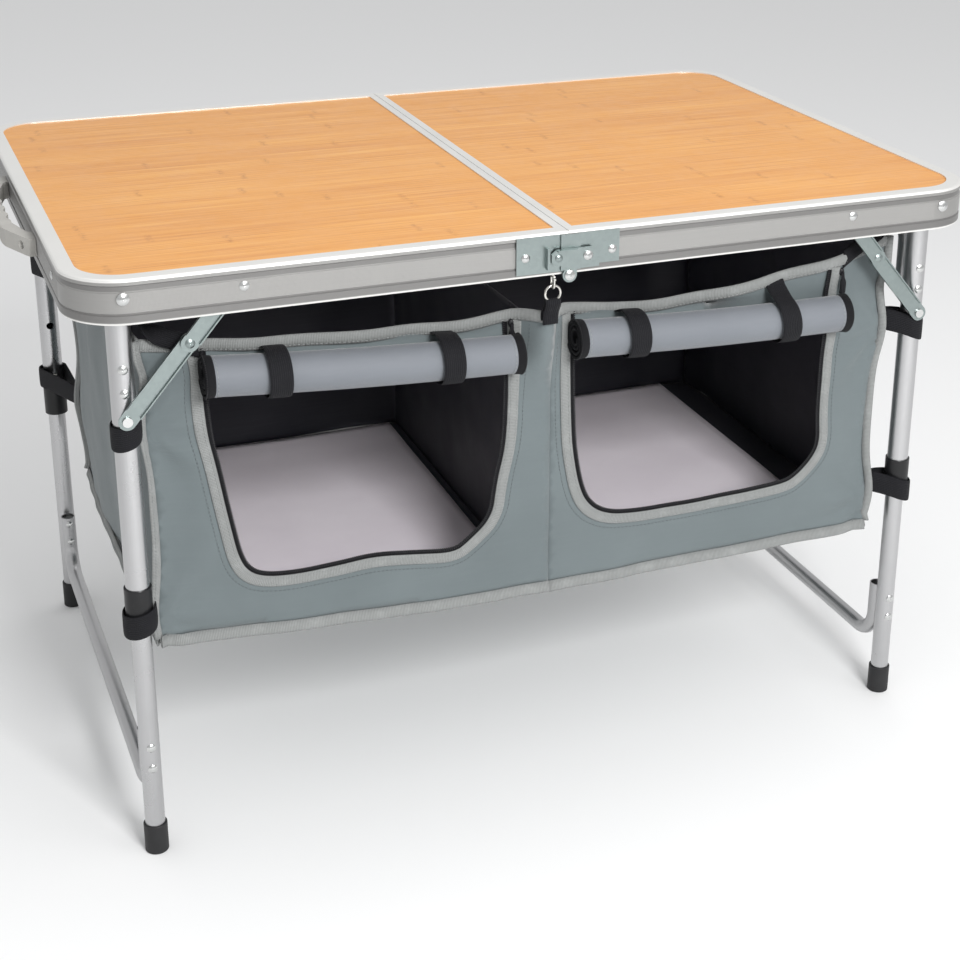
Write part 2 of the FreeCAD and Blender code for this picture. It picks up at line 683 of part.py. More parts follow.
def snap_hook():
    """A small wire snap hook on a stem under the rim's bottom flange, open to the front."""
    low = HOOK_TOP - HOOK_DROP
    near, far = HOOK_Y - HOOK_HALF, HOOK_Y + HOOK_HALF
    turn = 2.0
    bulge = turn * (1 - math.sqrt(0.5))

    def at(y, z):
        return Vector(HOOK_X, y, z)

    path = Part.Wire([
        Part.LineSegment(at(near, HOOK_TOP), at(far - turn, HOOK_TOP)).toShape(),
        Part.Arc(
            at(far - turn, HOOK_TOP), at(far - bulge, HOOK_TOP - bulge), at(far, HOOK_TOP - turn)
        ).toShape(),
        Part.LineSegment(at(far, HOOK_TOP - turn), at(far, low)).toShape(),
        Part.Arc(at(far, low), at(HOOK_Y, low - HOOK_HALF), at(near, low)).toShape(),
    ])
    ring = Part.Wire([Part.makeCircle(WIRE, at(near, HOOK_TOP), Y)])
    wire = path.makePipeShell([ring], True, False)
    stem = rod(1.3, at(HOOK_Y, HOOK_TOP), at(HOOK_Y, RIM_BOTTOM))
    return fuse([wire, stem])


def hook_gate():
    """The sprung gate that closes the hook's open side."""
    top = HOOK_TOP - WIRE - PART_GAP - GATE_EYE
    low = HOOK_TOP - HOOK_DROP + PART_GAP
    y = HOOK_Y - HOOK_HALF
    pivot = rod(GATE_EYE, Vector(HOOK_X - GATE_EYE, y, top), Vector(HOOK_X + GATE_EYE, y, top))
    return fuse([rod(1.0, Vector(HOOK_X, y, low), Vector(HOOK_X, y, top)), pivot])


def hanger_ring():
    """A ring through the hook, with the webbing tab that it is sewn to."""
    hook_seat = HOOK_TOP - HOOK_DROP - HOOK_HALF + WIRE + PART_GAP
    centre = Vector(HOOK_X, HOOK_Y, hook_seat + RING_WIRE - RING_RADIUS)
    ring = Part.makeTorus(RING_RADIUS, RING_WIRE, centre, Y)
    tab_y = (HOOK_Y - 1.0, HOOK_Y + 1.0)
    tab_top = centre.z - RING_RADIUS - RING_WIRE - 0.2
    tab = box((HOOK_X - 8, HOOK_X + 8), tab_y, (BAG_HEM - 22, tab_top))
    return ring, tab


def write_top():
    save("left_rim", half_rim())
    save("right_rim", mirror_x(half_rim()))
    save("left_board", half_board())
    save("right_board", mirror_x(half_board()))
    save("left_seam_rail", half_seam_rail())
    save("right_seam_rail", mirror_x(half_seam_rail()))
    save("left_pivot_pins", *half_pivot_pins())
    save("right_pivot_pins", *[mirror_x(pin) for pin in half_pivot_pins()])
    save("left_hinge_plates", *both_ends(left_hinge_plate()))
    save("right_hinge_plates", *both_ends(right_hinge_plate()))
    save("hinge_pins", *both_ends(hinge_pin()))
    handle_screws = [handle_screw(-1), handle_screw(1)]
    save("left_rim_fasteners", *both_ends(plate_rivet(-1)), *end_rivets(), *handle_screws)
    right_end = [mirror_x(rivet) for rivet in end_rivets()]
    save("right_rim_fasteners", *both_ends(plate_rivet(1)), *right_end)
    save("latch_rivets", *both_ends(latch_rivet()))
    save("front_latch_lever", latch_lever())
    save("rear_latch_lever", mirror_y(latch_lever()))
    save("carry_handle", carry_handle())


def write_leg_frame(side, place):
    """One leg frame; place turns a left-hand piece into this side's."""
    save(f"front_{side}_upper_tube", place(upper_tube()))
    save(f"rear_{side}_upper_tube", place(mirror_y(upper_tube())))
    save(f"front_{side}_lower_tube", place(lower_tube()))
    save(f"rear_{side}_lower_tube", place(mirror_y(lower_tube())))
    save(f"{side}_upper_cross_bar", place(upper_bar()))
    save(f"{side}_lower_cross_bar", place(lower_bar()))
    save(f"{side}_collars", *[place(ring) for ring in both_ends(collar())])
    save(f"{side}_feet", *[place(cap) for cap in both_ends(foot())])
    upper = [frame_rivet(-LEG_X, z, UPPER_RADIUS) for z in UPPER_RIVETS]
    upper.append(brace_low_pin())
    lower = [frame_rivet(-LEG_X, z, LOWER_RADIUS) for z in LOWER_RIVETS]
    for name, rivets in (("upper", upper), ("lower", lower)):
        group = [place(piece) for rivet in rivets for piece in both_ends(rivet)]
        save(f"{side}_{name}_rivets", *group)
    save(f"front_{side}_snap_button", place(snap_button()))
    save(f"rear_{side}_snap_button", place(mirror_y(snap_button())))
    save(f"{side}_upper_brace_links", *[place(link) for link in both_ends(upper_link())])
    save(f"{side}_lower_brace_links", *[place(link) for link in both_ends(lower_link())])


def write_organiser():
    organiser()
    save("leg_straps", *leg_straps())
    save("snap_hook", snap_hook())
    save("snap_hook_gate", hook_gate())
    ring, tab = hanger_ring()
    save("hanger_ring", ring)
    save("hanger_tab", tab)


os.makedirs("parts", exist_ok=True)
write_top()
write_leg_frame("left", lambda shape: shape)
write_leg_frame("right", mirror_x)
write_organiser()
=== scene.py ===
import math

import bpy
import numpy as np
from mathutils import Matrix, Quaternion, Vector, geometry, noise


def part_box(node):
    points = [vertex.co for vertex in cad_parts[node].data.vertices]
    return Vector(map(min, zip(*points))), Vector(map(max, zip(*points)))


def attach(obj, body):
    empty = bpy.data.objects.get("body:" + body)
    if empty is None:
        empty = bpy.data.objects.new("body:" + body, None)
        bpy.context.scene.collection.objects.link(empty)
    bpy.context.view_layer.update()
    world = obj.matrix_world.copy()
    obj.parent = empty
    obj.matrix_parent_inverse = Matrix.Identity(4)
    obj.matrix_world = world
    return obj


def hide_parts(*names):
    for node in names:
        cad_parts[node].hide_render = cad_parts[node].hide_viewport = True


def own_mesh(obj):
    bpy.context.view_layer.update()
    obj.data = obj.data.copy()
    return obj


# The looks of a folding camp kitchen table with a fabric organiser hung under
# its top.  Metres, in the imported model's own frame.  Lengths below are given
# in millimetres and turned into metres by MM.

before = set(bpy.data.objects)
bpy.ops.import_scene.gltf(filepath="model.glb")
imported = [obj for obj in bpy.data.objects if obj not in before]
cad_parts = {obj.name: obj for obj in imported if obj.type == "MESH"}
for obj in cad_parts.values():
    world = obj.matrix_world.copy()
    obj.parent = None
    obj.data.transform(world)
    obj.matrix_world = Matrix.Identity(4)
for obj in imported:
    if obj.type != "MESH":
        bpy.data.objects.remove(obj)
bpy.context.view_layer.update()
MM = 0.001


# ---- places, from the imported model
def low(node):
    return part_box(node)[0]


def high(node):
    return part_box(node)[1]


SEAM = (high("left_rim").x + low("right_rim").x) / 2
LEFT = low("organiser_front_panel").x
RIGHT = high("organiser_front_panel").x
FRONT = low("organiser_front_panel").y
BACK = high("organiser_back_panel").y
FLOOR = low("organiser_floor").z
HEM = high("organiser_front_panel").z
DIVIDER = (low("organiser_divider").x + high("organiser_divider").x) / 2
HINGE_Z = low("left_rim").z
BOARD_TOP = high("left_board").z
HALVES = {"left": "left_top", "right": "right_top"}

# ---- fabric sizes
CLOTH = 1.1 * MM
BINDING = 10.0 * MM
BINDING_THICK = 0.9 * MM
BINDING_LIFT = 0.9 * MM
FLANGE_THICK = 1.3 * MM
TAPE = 5.0 * MM
WEBBING_THICK = 1.3 * MM
# From what a strap wraps to the middle of its webbing.
WEBBING_GAP = 1.6 * MM
# The distance between a cloth panel's mesh points.
GRID = 7.0 * MM

# The doorways' edges, as offsets in millimetres from the seam and the ground.
LEFT_DOORWAY = [
    (-337, 496), (-335, 430), (-327, 375), (-319, 330), (-312, 296), (-302, 279), (-284, 271),
    (-256, 269), (-220, 270), (-180, 274), (-139, 269), (-100, 264), (-86, 272), (-60, 295),
    (-55, 331), (-45, 371), (-42, 433), (-42, 496),
]
RIGHT_DOORWAY = [
    (21, 496), (21, 382), (24, 349), (32, 307), (44, 287), (64, 275), (96, 272), (150, 271),
    (211, 272), (268, 274), (284, 283), (300, 299), (308, 317), (304, 349), (303, 390), (305, 496),
]
# The front hem's height over the ground, along the front from corner to corner.
HEM_POINTS = [
    (-388, 519), (-345, 513), (-280, 507), (-180, 501), (-90, 499), (-50, 502), (-13, 509),
    (25, 502), (70, 496), (140, 496), (210, 504), (270, 512), (325, 521), (370, 534),
]
BOTTOM_POINTS = [(-388, 225), (-250, 219), (-120, 214), (0, 212), (180, 211), (370, 214)]
# The door straps: (offset from the seam, how far the upper end leans), in millimetres.
ROLL_STRAPS = {"left": ((-271, 0.0), (-109, 0.0)), "right": ((79, 0.0), (248, -8.0))}
# Where a strap's points lie across it, as shares of its half width.
ACROSS = (-1, -0.33, 0.33, 1)


# ---------------------------------------------------------------- finishes
class Finish:
    """A material being built: nodes are added by type, and sockets take a value or a link."""

    def __init__(self, name, **shader):
        self.material = bpy.data.materials.new(name)
        self.material.use_nodes = True
        self.tree = self.material.node_tree
        self.shader = self.tree.nodes["Principled BSDF"]
        self.finish(**shader)

    def put(self, socket, value):
        if isinstance(value, bpy.types.NodeSocket):
            self.tree.links.new(value, socket)
        else:
            socket.default_value = value

    def node(self, kind, inputs=None, **settings):
        made = self.tree.nodes.new("ShaderNode" + kind)
        for key, value in settings.items():
            setattr(made, key, value)
        for key, value in (inputs or {}).items():
            self.put(made.inputs[key], value)
        return made

    def maths(self, operation, a, b=0.0, c=0.0):
        return self.node("Math", {0: a, 1: b, 2: c}, operation=operation).outputs[0]

    def times(self, a, b):
        return self.maths("MULTIPLY", a, b)

    def plus(self, a, b):
        return self.maths("ADD", a, b)

    def place(self):
        """A point on the object, in metres: the vector, then its x, y and z."""
        where = self.node("TexCoord").outputs["Object"]
        return where, *self.node("SeparateXYZ", {0: where}).outputs

    def length_and_width(self):
        """Metres along and across a strip."""
        return self.node("SeparateXYZ", {0: self.node("TexCoord").outputs["UV"]}).outputs[:2]

    def noise(self, vector, scale, detail, roughness=0.55):
        inputs = {"Vector": vector, "Scale": scale, "Detail": detail, "Roughness": roughness}
        return self.node("TexNoise", inputs).outputs[0]

    def drawn_noise(self, place, scales, detail, roughness=0.55):
        """Noise drawn out along some axes: each coordinate has a scale of its own."""
        drawn = {i: self.times(at, scale) for i, (at, scale) in enumerate(zip(place, scales))}
        return self.noise(self.node("CombineXYZ", drawn).outputs[0], 1.0, detail, roughness)

    def ramp(self, factor, *stops):
        made = self.node("ValToRGB", {0: factor})
        elements = made.color_ramp.elements
        while len(elements) < len(stops):
            elements.new(0.5)
        for element, (position, shade) in zip(elements, stops):
            element.position = position
            element.color = colour(shade)
        return made.outputs[0]

    def blend(self, factor, first, second, how="MIX"):
        inputs = {0: factor, 1: colour(first), 2: colour(second)}
        return self.node("MixRGB", inputs, blend_type=how).outputs[0]

    def span(self, factor, low_in, high_in, low_out=0.0, high_out=1.0):
        inputs = {0: factor, 1: low_in, 2: high_in, 3: low_out, 4: high_out}
        return self.node("MapRange", inputs).outputs[0]

    def wave(self, distance, pitch):
        """A sine from -1 to 1 along a coordinate."""
        return self.maths("SINE", self.times(distance, math.tau / pitch))

    def bump(self, height, distance, strength=1.0, under=None):
        inputs = {"Height": height, "Distance": distance, "Strength": strength}
        if under is not None:
            inputs["Normal"] = under
        return self.node("Bump", inputs).outputs[0]

    def finish(self, **sockets):
        """Sets or links the shader's own sockets, named with underscores."""
        for socket, value in sockets.items():
            self.put(self.shader.inputs[socket.replace("_", " ")], value)
        return self.material


def colour(value):
    if isinstance(value, tuple) and len(value) == 3:
        return (*value, 1.0)
    return value


def srgb(red, green, blue):
    """A colour from its 0 to 255 display values, as linear light."""
    def linear(level):
        level /= 255
        return level / 12.92 if level <= 0.04045 else ((level + 0.055) / 1.055) ** 2.4

    return tuple(linear(level) for level in (red, green, blue))


def tinted(shade, factor, lift=0.0):
    """A lighter or darker version of a colour."""
    return tuple(min(1.0, level * factor + lift) for level in shade)


def woven(name, shade, dark_shade, rough=0.82, sheen=0.25):
    """Plain-weave polyester: crossing threads, soft mottling and rubbed high spots."""
    pitch = 1.1 * MM
    f = Finish(name, Sheen_Weight=sheen, Sheen_Roughness=0.45, IOR=1.45)
    where, x, y, z = f.place()
    weave = f.times(f.wave(f.plus(x, y), pitch), f.wave(f.plus(z, y), pitch))
    threads = f.plus(f.times(weave, 0.5), f.noise(where, 900.0, 2.0))
    mottle = f.noise(where, 9.0, 4.0)
    slub = f.drawn_noise((x, y, z), (22.0, 22.0, 420.0), 2.0)
    base = f.blend(f.span(mottle, 0.3, 0.7), dark_shade, shade)
    base = f.blend(f.span(weave, -1.0, 1.0, 0.13, 0.0), base, (0.01, 0.012, 0.014))
    base = f.blend(f.span(slub, 0.4, 0.75, 0.0, 0.006), base, (0.75, 0.77, 0.78))
    crumple = f.bump(f.noise(where, 19.0, 3.0, 0.5), 0.004, 0.30)
    return f.finish(
        Base_Color=base,
        Roughness=f.span(mottle, 0.3, 0.7, rough - 0.07, rough + 0.06),
        Normal=f.bump(threads, 0.00010, 0.8, crumple),
    )


def ribbed_tape(name, shade, dark_shade, rib, along=False, sheen=0.2):
    """Narrow woven tape, ribbed along or across its length, worn lighter in places."""
    rough = 0.75
    f = Finish(name, Sheen_Weight=sheen, Sheen_Roughness=0.5, IOR=1.45, Specular_IOR_Level=0.25)
    length, width = f.length_and_width()
    where = f.place()[0]
    ribs = f.wave(width if along else length, rib)
    cross = f.wave(length if along else width, rib * 0.9)
    worn = f.noise(where, 60.0, 4.0, 0.65)
    base = f.blend(f.span(ribs, -1.0, 1.0), dark_shade, shade)
    base = f.blend(f.span(worn, 0.5, 0.8, 0.0, 0.35), base, tinted(shade, 1.5))
    return f.finish(
        Base_Color=base,
        Roughness=f.span(worn, 0.3, 0.7, rough, rough + 0.12),
        Normal=f.bump(f.plus(ribs, f.times(cross, 0.35)), 0.00022, 0.7, f.bump(worn, 0.0012, 0.3)),
    )


STRIP_WIDTH = 25 * MM
KNUCKLE_SPACING = 0.31


def bamboo():
    """Printed bamboo strips along the length, with knuckles, under a clear satin film."""
    f = Finish("bamboo_print", Coat_Weight=0.12, Coat_Roughness=0.35, IOR=1.47)
    where, x, y, z = f.place()
    strips = f.maths("DIVIDE", y, STRIP_WIDTH)
    number = f.maths("FLOOR", strips)
    chance = f.node("TexWhiteNoise", {"W": number}, noise_dimensions="1D").outputs["Value"]
    sway = f.drawn_noise((x, y, 0.0), (4.0, 9.0, 1.0), 2.0)
    bent = f.maths("MULTIPLY_ADD", sway, 0.006, y)
    fibre = f.drawn_noise((x, bent, number), (5.0, 430.0, 1.0), 5.0, 0.66)
    broad = f.drawn_noise((x, bent, chance), (2.6, 95.0, 1.0), 3.0)
    base = f.ramp(
        fibre,
        (0.30, srgb(190, 124, 56)), (0.45, srgb(218, 152, 76)),
        (0.58, srgb(229, 168, 89)), (0.74, srgb(241, 190, 112)),
    )
    base = f.blend(f.span(broad, 0.35, 0.62, 0.30, 0.0), base, srgb(212, 144, 68))
    base = f.blend(f.span(chance, 0.0, 1.0, 0.0, 0.16), base, srgb(206, 160, 104), "MULTIPLY")
    # One knuckle in each spacing of a strip, at a place of its own: a short wavy smudge.
    wander = f.drawn_noise((x, y, number), (90.0, 260.0, 1.0), 2.0)
    turn = f.plus(f.maths("DIVIDE", x, KNUCKLE_SPACING), f.times(chance, 7.31))
    turn = f.plus(turn, f.times(wander, 0.022))
    phase = f.maths("ABSOLUTE", f.maths("SUBTRACT", f.maths("FRACT", turn), 0.5))
    edge = f.maths("ABSOLUTE", f.maths("SUBTRACT", f.maths("FRACT", strips), 0.5))
    ring = f.times(f.span(phase, 0.0, 0.014, 1.0, 0.0), f.span(edge, 0.36, 0.5, 1.0, 0.0))
    broken = f.span(f.noise(where, 240.0, 3.0), 0.42, 0.58, 0.15, 1.0)
    base = f.blend(f.times(f.times(ring, broken), 0.5), base, srgb(158, 98, 44))
    line = f.span(edge, 0.485, 0.5, 0.0, 0.30)
    base = f.blend(line, base, srgb(206, 146, 74))
    under = f.span(z, BOARD_TOP - 0.9 * MM, BOARD_TOP - 0.8 * MM, 1.0, 0.0)
    base = f.blend(under, base, srgb(205, 203, 198))
    scuff = f.noise(where, 38.0, 5.0, 0.7)
    return f.finish(
        Base_Color=base,
        Roughness=f.span(scuff, 0.35, 0.7, 0.36, 0.50),
        Normal=f.bump(f.maths("SUBTRACT", fibre, line), 0.00008, 0.5),
    )


def metal(name, shade, rough, grain=(1.0, 1.0, 1.0), spangle=0.0, sheer=1.0):
    """Bare metal: fine drawing lines, faint smears and a few handling marks."""
    f = Finish(name, Metallic=sheer, IOR=1.5)
    where, x, y, z = f.place()
    lines = f.drawn_noise((x, y, z), [900.0 * share for share in grain], 3.0)
    smear = f.noise(where, 14.0, 4.0, 0.6)
    base = f.blend(f.span(smear, 0.35, 0.7), tinted(shade, 0.95), shade)
    base = f.blend(f.span(lines, 0.4, 0.8, 0.0, 0.14), base, tinted(shade, 0.75))
    if spangle:
        cells = f.node("TexVoronoi", {"Vector": where, "Scale": 260.0}).outputs["Color"]
        tone = f.node("SeparateXYZ", {0: cells}).outputs[0]
        base = f.blend(f.span(tone, 0.0, 1.0, 0.0, spangle), base, tinted(shade, 0.7))
    marks = f.span(f.noise(where, 120.0, 2.0), 0.66, 0.74, 0.0, 0.10)
    rough_value = f.plus(f.span(smear, 0.3, 0.7, rough - 0.05, rough + 0.06), marks)
    return f, base, rough_value, f.bump(lines, 0.00002, 0.6)


def plain_metal(*words, **values):
    f, base, rough, normal = metal(*words, **values)
    return f.finish(Base_Color=base, Roughness=rough, Normal=normal)


def stripe(f, z, start, end, soft=0.6):
    """1 between two heights over the rim's bottom edge, in millimetres, and 0 outside them."""
    begin, stop = HINGE_Z + start * MM, HINGE_Z + end * MM
    return f.times(
        f.span(z, begin, begin + soft * MM), f.span(z, stop, stop + soft * MM, 1.0, 0.0)
    )


KNURL_PITCH = 2.1 * MM
# Beyond both of these, from the seam and from the middle line, the rim is round a corner.
CORNER_X, CORNER_Y = 0.393, 0.243


def rim_metal():
    """Extruded rim: brushed, with a finely knurled band on its straight lengths. Its groove bands
    carry painted shade, and its top lip and bottom bead a painted highlight.
    """
    f, base, rough, normal = metal(
        "rim_extrusion", srgb(153, 152, 150), 0.38, (0.02, 0.02, 1.0), sheer=0.6
    )
    _, x, y, z = f.place()
    off_x = f.maths("ABSOLUTE", f.maths("SUBTRACT", x, SEAM))
    off_y = f.maths("ABSOLUTE", y)
    corner = f.times(
        f.span(off_x, CORNER_X, CORNER_X + 0.003),
        f.span(off_y, CORNER_Y, CORNER_Y + 0.003),
    )
    band = f.times(stripe(f, z, 11.6, 28.6, 0.4), f.maths("SUBTRACT", 1.0, corner))
    run = f.plus(x, y)
    diamonds = f.times(
        f.wave(f.plus(run, z), KNURL_PITCH), f.wave(f.maths("SUBTRACT", run, z), KNURL_PITCH)
    )
    diamonds = f.times(diamonds, band)
    base = f.blend(f.span(diamonds, -1.0, 0.4, 0.20, 0.0), base, srgb(176, 175, 173))
    # Painted shade: two groove bands are darkened in colour to stand in for shadow and dark
    # reflections.
    painted_groove_shade = f.plus(stripe(f, z, 30.0, 35.2), stripe(f, z, 2.6, 10.2))
    base = f.blend(f.times(painted_groove_shade, 0.75), base, srgb(112, 111, 110))
    # Painted highlight: the top lip and the bottom bead are lightened in colour to stand in for their
    # reflections.
    painted_edge_highlight = f.plus(stripe(f, z, 38.2, 45.0), stripe(f, z, -5.0, 2.0))
    base = f.blend(painted_edge_highlight, base, srgb(232, 231, 228))
    return f.finish(
        Base_Color=base,
        Roughness=f.maths("MULTIPLY_ADD", band, 0.14, rough),
        Normal=f.bump(diamonds, 0.00016, 0.7, normal),
    )


def moulded(name, shade, rough, speck=0.00006, scale=700.0):
    """Moulded plastic or rubber: a fine eroded skin, scuffed lighter here and there."""
    f = Finish(name, IOR=1.40)
    where = f.place()[0]
    skin = f.noise(where, scale, 3.0)
    scuff = f.noise(where, 45.0, 5.0, 0.7)
    return f.finish(
        Base_Color=f.blend(f.span(scuff, 0.5, 0.85, 0.0, 0.5), shade, tinted(shade, 1.35, 0.015)),
        Roughness=f.span(scuff, 0.3, 0.75, rough - 0.06, rough + 0.10),
        Normal=f.bump(skin, speck, 0.7),
    )


def stiffener():
    """Stiff board wrapped in a smooth pale cloth, faintly stained."""
    f = Finish("stiffener_cloth", Sheen_Weight=0.15, IOR=1.45)
    where, x, y, _ = f.place()
    stain = f.noise(where, 6.0, 4.0, 0.6)
    weave = f.times(f.wave(x, 0.9 * MM), f.wave(y, 0.9 * MM))
    base = f.blend(f.span(stain, 0.35, 0.7), srgb(234, 226, 234), srgb(243, 236, 243))
    base = f.blend(f.span(weave, -1.0, 1.0, 0.06, 0.0), base, srgb(150, 140, 148))
    return f.finish(
        Base_Color=base,
        Roughness=f.span(stain, 0.3, 0.7, 0.62, 0.76),
        Normal=f.bump(weave, 0.00005, 0.6, f.bump(stain, 0.002, 0.2)),
    )


def thread(name, shade):
    """Twisted sewing thread."""
    f = Finish(name, Sheen_Weight=0.2)
    twist = f.wave(f.plus(*f.place()[1:3]), 0.5 * MM)
    base = f.blend(f.span(twist, -1.0, 1.0, 0.0, 0.4), shade, tinted(shade, 0.6))
    return f.finish(Base_Color=base, Roughness=f.span(twist, -1.0, 1.0, 0.6, 0.7))


GREY = woven("grey_polyester", srgb(105, 114, 116), srgb(97, 106, 108))
ROLL_GREY = woven("rolled_polyester", srgb(117, 121, 127), srgb(110, 114, 120), rough=0.62)
LINING = woven("dark_lining", srgb(34, 34, 43), srgb(28, 28, 36), rough=0.52, sheen=0.04)
BOUND = ribbed_tape("grey_binding", srgb(141, 143, 142), srgb(122, 124, 123), 1.5 * MM)
BLACK_WEB = ribbed_tape(
    "black_webbing", (0.011, 0.011, 0.013), (0.005, 0.005, 0.007), 1.9 * MM, along=True, sheen=0.02
)
ZIP_TAPE = ribbed_tape("zip_tape", (0.009, 0.009, 0.011), (0.005, 0.005, 0.006), 0.8 * MM, sheen=0.02)
ZIP_TEETH = moulded("zip_coil", (0.012, 0.012, 0.014), 0.38)
BAMBOO = bamboo()
RIM = rim_metal()
RAIL = plain_metal("seam_strip", srgb(226, 225, 222), 0.42, grain=(1.0, 0.02, 1.0), sheer=0.5)
TUBE = plain_metal("drawn_tube", srgb(192, 192, 193), 0.30, grain=(1.0, 1.0, 0.02))
BAR = plain_metal("bent_bar", srgb(186, 186, 187), 0.32, grain=(0.5, 0.03, 0.5))
ZINC = plain_metal("zinc_plate", srgb(150, 160, 159), 0.33, grain=(0.2, 1.0, 0.2), spangle=0.22)
RIVET = plain_metal("rivet_steel", srgb(206, 207, 206), 0.22)
NICKEL = plain_metal("nickel_wire", srgb(214, 212, 206), 0.16)
HANDLE = moulded("grey_handle", srgb(172, 170, 165), 0.48)
BLACK_PLASTIC = moulded("black_collar", (0.010, 0.010, 0.011), 0.40)
RUBBER = moulded("black_foot", (0.017, 0.017, 0.018), 0.55, 0.00012, 500.0)
BOARD = stiffener()
GREY_THREAD = thread("grey_thread", srgb(134, 137, 136))
DARK_THREAD = thread("dark_thread", srgb(84, 92, 94))

CAD_FINISHES = {
    "rim": RIM, "board": BAMBOO, "seam_rail": RAIL, "tube": TUBE, "cross_bar": BAR,
    "hinge_plates": ZINC, "latch_lever": ZINC, "brace_links": ZINC, "rivets": RIVET,
    "pins": RIVET, "fasteners": RIVET, "carry_handle": HANDLE, "collars": BLACK_PLASTIC,
    "feet": RUBBER, "snap_button": NICKEL, "snap_hook": NICKEL, "hanger_ring": NICKEL,
    "gate": NICKEL, "base_board": BOARD,
}


def finish_cad_nodes():
    """Every carried-over node takes the finish whose key is the longest end of its name."""
    for name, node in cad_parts.items():
        keys = [key for key in CAD_FINISHES if name.endswith(key)]
        if keys:
            node.data.materials.clear()
            node.data.materials.append(CAD_FINISHES[max(keys, key=len)])


# ---------------------------------------------------------------- shapes of curves
def clamp(value):
    return min(1.0, max(0.0, value))


def smooth_step(value):
    value = clamp(value)
    return value * value * (3 - 2 * value)


def arch(share):
    """0 at both ends of a span and 1 in its middle."""
    return math.sin(math.pi * share)


def hump(offset, width):
    """1 where an offset is 0, and close to 0 beyond a width."""
    return math.exp(-((offset / width) ** 2))


def evenly(start, end, count):
    """Places at even distances, with both ends."""
    return [start + (end - start) * i / count for i in range(count + 1)]


def through(points, at):
    """The height at a place along a smooth line through (along, height) points, in millimetres."""
    at = min(max(at, points[0][0]), points[-1][0])
    for i in range(len(points) - 1):
        if at <= points[i + 1][0]:
            break
    before, after = points[max(i - 1, 0)], points[min(i + 2, len(points) - 1)]
    (x1, y1), (x2, y2) = points[i], points[i + 1]
    span = x2 - x1
    t = (at - x1) / span
    slope_1 = (y2 - before[1]) / (x2 - before[0]) * span
    slope_2 = (after[1] - y1) / (after[0] - x1) * span
    return (
        (2 * t**3 - 3 * t**2 + 1) * y1 + (t**3 - 2 * t**2 + t) * slope_1
        + (3 * t**2 - 2 * t**3) * y2 + (t**3 - t**2) * slope_2
    )


def rounded_line(points, rounds=3):
    """Corners cut away again and again, so that a line with few points turns smoothly."""
    line = [Vector(p) for p in points]
    for _ in range(rounds):
        cut = [line[0]]
        for a, b in zip(line, line[1:]):
            cut += [a.lerp(b, 0.25), a.lerp(b, 0.75)]
        line = [*cut, line[-1]]
    return line


def spaced(line, step):
    """The same line with points at even distances."""
    lengths = [0.0]
    for a, b in zip(line, line[1:]):
        lengths.append(lengths[-1] + (b - a).length)
    count = max(2, round(lengths[-1] / step) + 1)
    made, k = [], 0
    for i in range(count):
        target = lengths[-1] * i / (count - 1)
        while k < len(line) - 2 and lengths[k + 1] < target:
            k += 1
        share = (target - lengths[k]) / max(lengths[k + 1] - lengths[k], 1e-9)
        made.append(line[k].lerp(line[k + 1], share))
    return made


def walk(start, end, step):
    """Points from start towards end, without end."""
    a, b = Vector(start), Vector(end)
    count = max(1, round((b - a).length / step))
    return [tuple(a.lerp(b, i / count)) for i in range(count)]


# ---------------------------------------------------------------- mesh helpers
def piece(name, points, faces, side, slot, materials, uvs=None):
    """A named mesh that rides on one half of the top and takes the finishes it is given; its slot is
    not used.
    """
    mesh = bpy.data.meshes.new(name)
    mesh.from_pydata([tuple(p) for p in points], [], faces)
    if uvs is not None:
        layer = mesh.uv_layers.new(name="UVMap")
        for loop in mesh.loops:
            layer.data[loop.index].uv = uvs[loop.vertex_index]
    mesh.validate()
    for face in mesh.polygons:
        face.use_smooth = True
    made = bpy.data.objects.new(name, mesh)
    bpy.context.scene.collection.objects.link(made)
    for material in materials:
        mesh.materials.append(material)
    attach(made, HALVES[side])
    return made


def thicken(made, thickness, inner_slot=0, offset=-1.0):
    modifier = made.modifiers.new("Thickness", "SOLIDIFY")
    modifier.thickness = thickness
    modifier.offset = offset
    modifier.material_offset = inner_slot
    modifier.material_offset_rim = 0
    return made


def rounded(made):
    modifier = made.modifiers.new("Rounding", "SUBSURF")
    modifier.levels = modifier.render_levels = 1
    return made


def crumples(made):
    """Gives a piece a mesh of its own."""
    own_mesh(made)
    return made


def strip(name, rows, side, slot, materials, thickness):
    """A band through rows of points: rows run along it, and the points of a row across it."""
    count = len(rows[0])
    uvs, along = [], 0.0
    for i, row in enumerate(rows):
        if i:
            along += (row[0] - rows[i - 1][0]).length
        across = 0.0
        for j, p in enumerate(row):
            if j:
                across += (p - row[j - 1]).length
            uvs.append((along, across))
    faces = [
        (a + j, a + j + 1, a + count + j + 1, a + count + j)
        for a in range(0, count * (len(rows) - 1), count) for j in range(count - 1)
    ]
    made = piece(name, [p for row in rows for p in row], faces, side, slot, materials, uvs)
    return thicken(made, thickness, offset=0.0)


def webbing(name, rows, side, thickness=WEBBING_THICK):
    """A black strap through rows of points."""
    return crumples(strip(name, rows, side, "black_webbing", [BLACK_WEB], thickness))


def widened(line, reach):
    """Rows of points across a strap, from the line along its middle."""
    return [[p + reach * share for share in ACROSS] for p in line]


# Rows of small closed bars: sizes in millimetres, and (share of the reach, girth) for each ring.
STITCH = {
    "pitch": 4.2, "size": (1.35, 0.45, 0.34), "sides": 6, "lengthways": True,
    "profile": ((-1.0, 0.45), (-0.6, 1.0), (0.6, 1.0), (1.0, 0.45)),
}
COIL = {
    "pitch": 2.0, "size": (1.5, 0.75, 0.65), "sides": 5, "lengthways": False,
    "profile": ((-1.0, 0.6), (0.0, 1.0), (1.0, 0.6)),
}


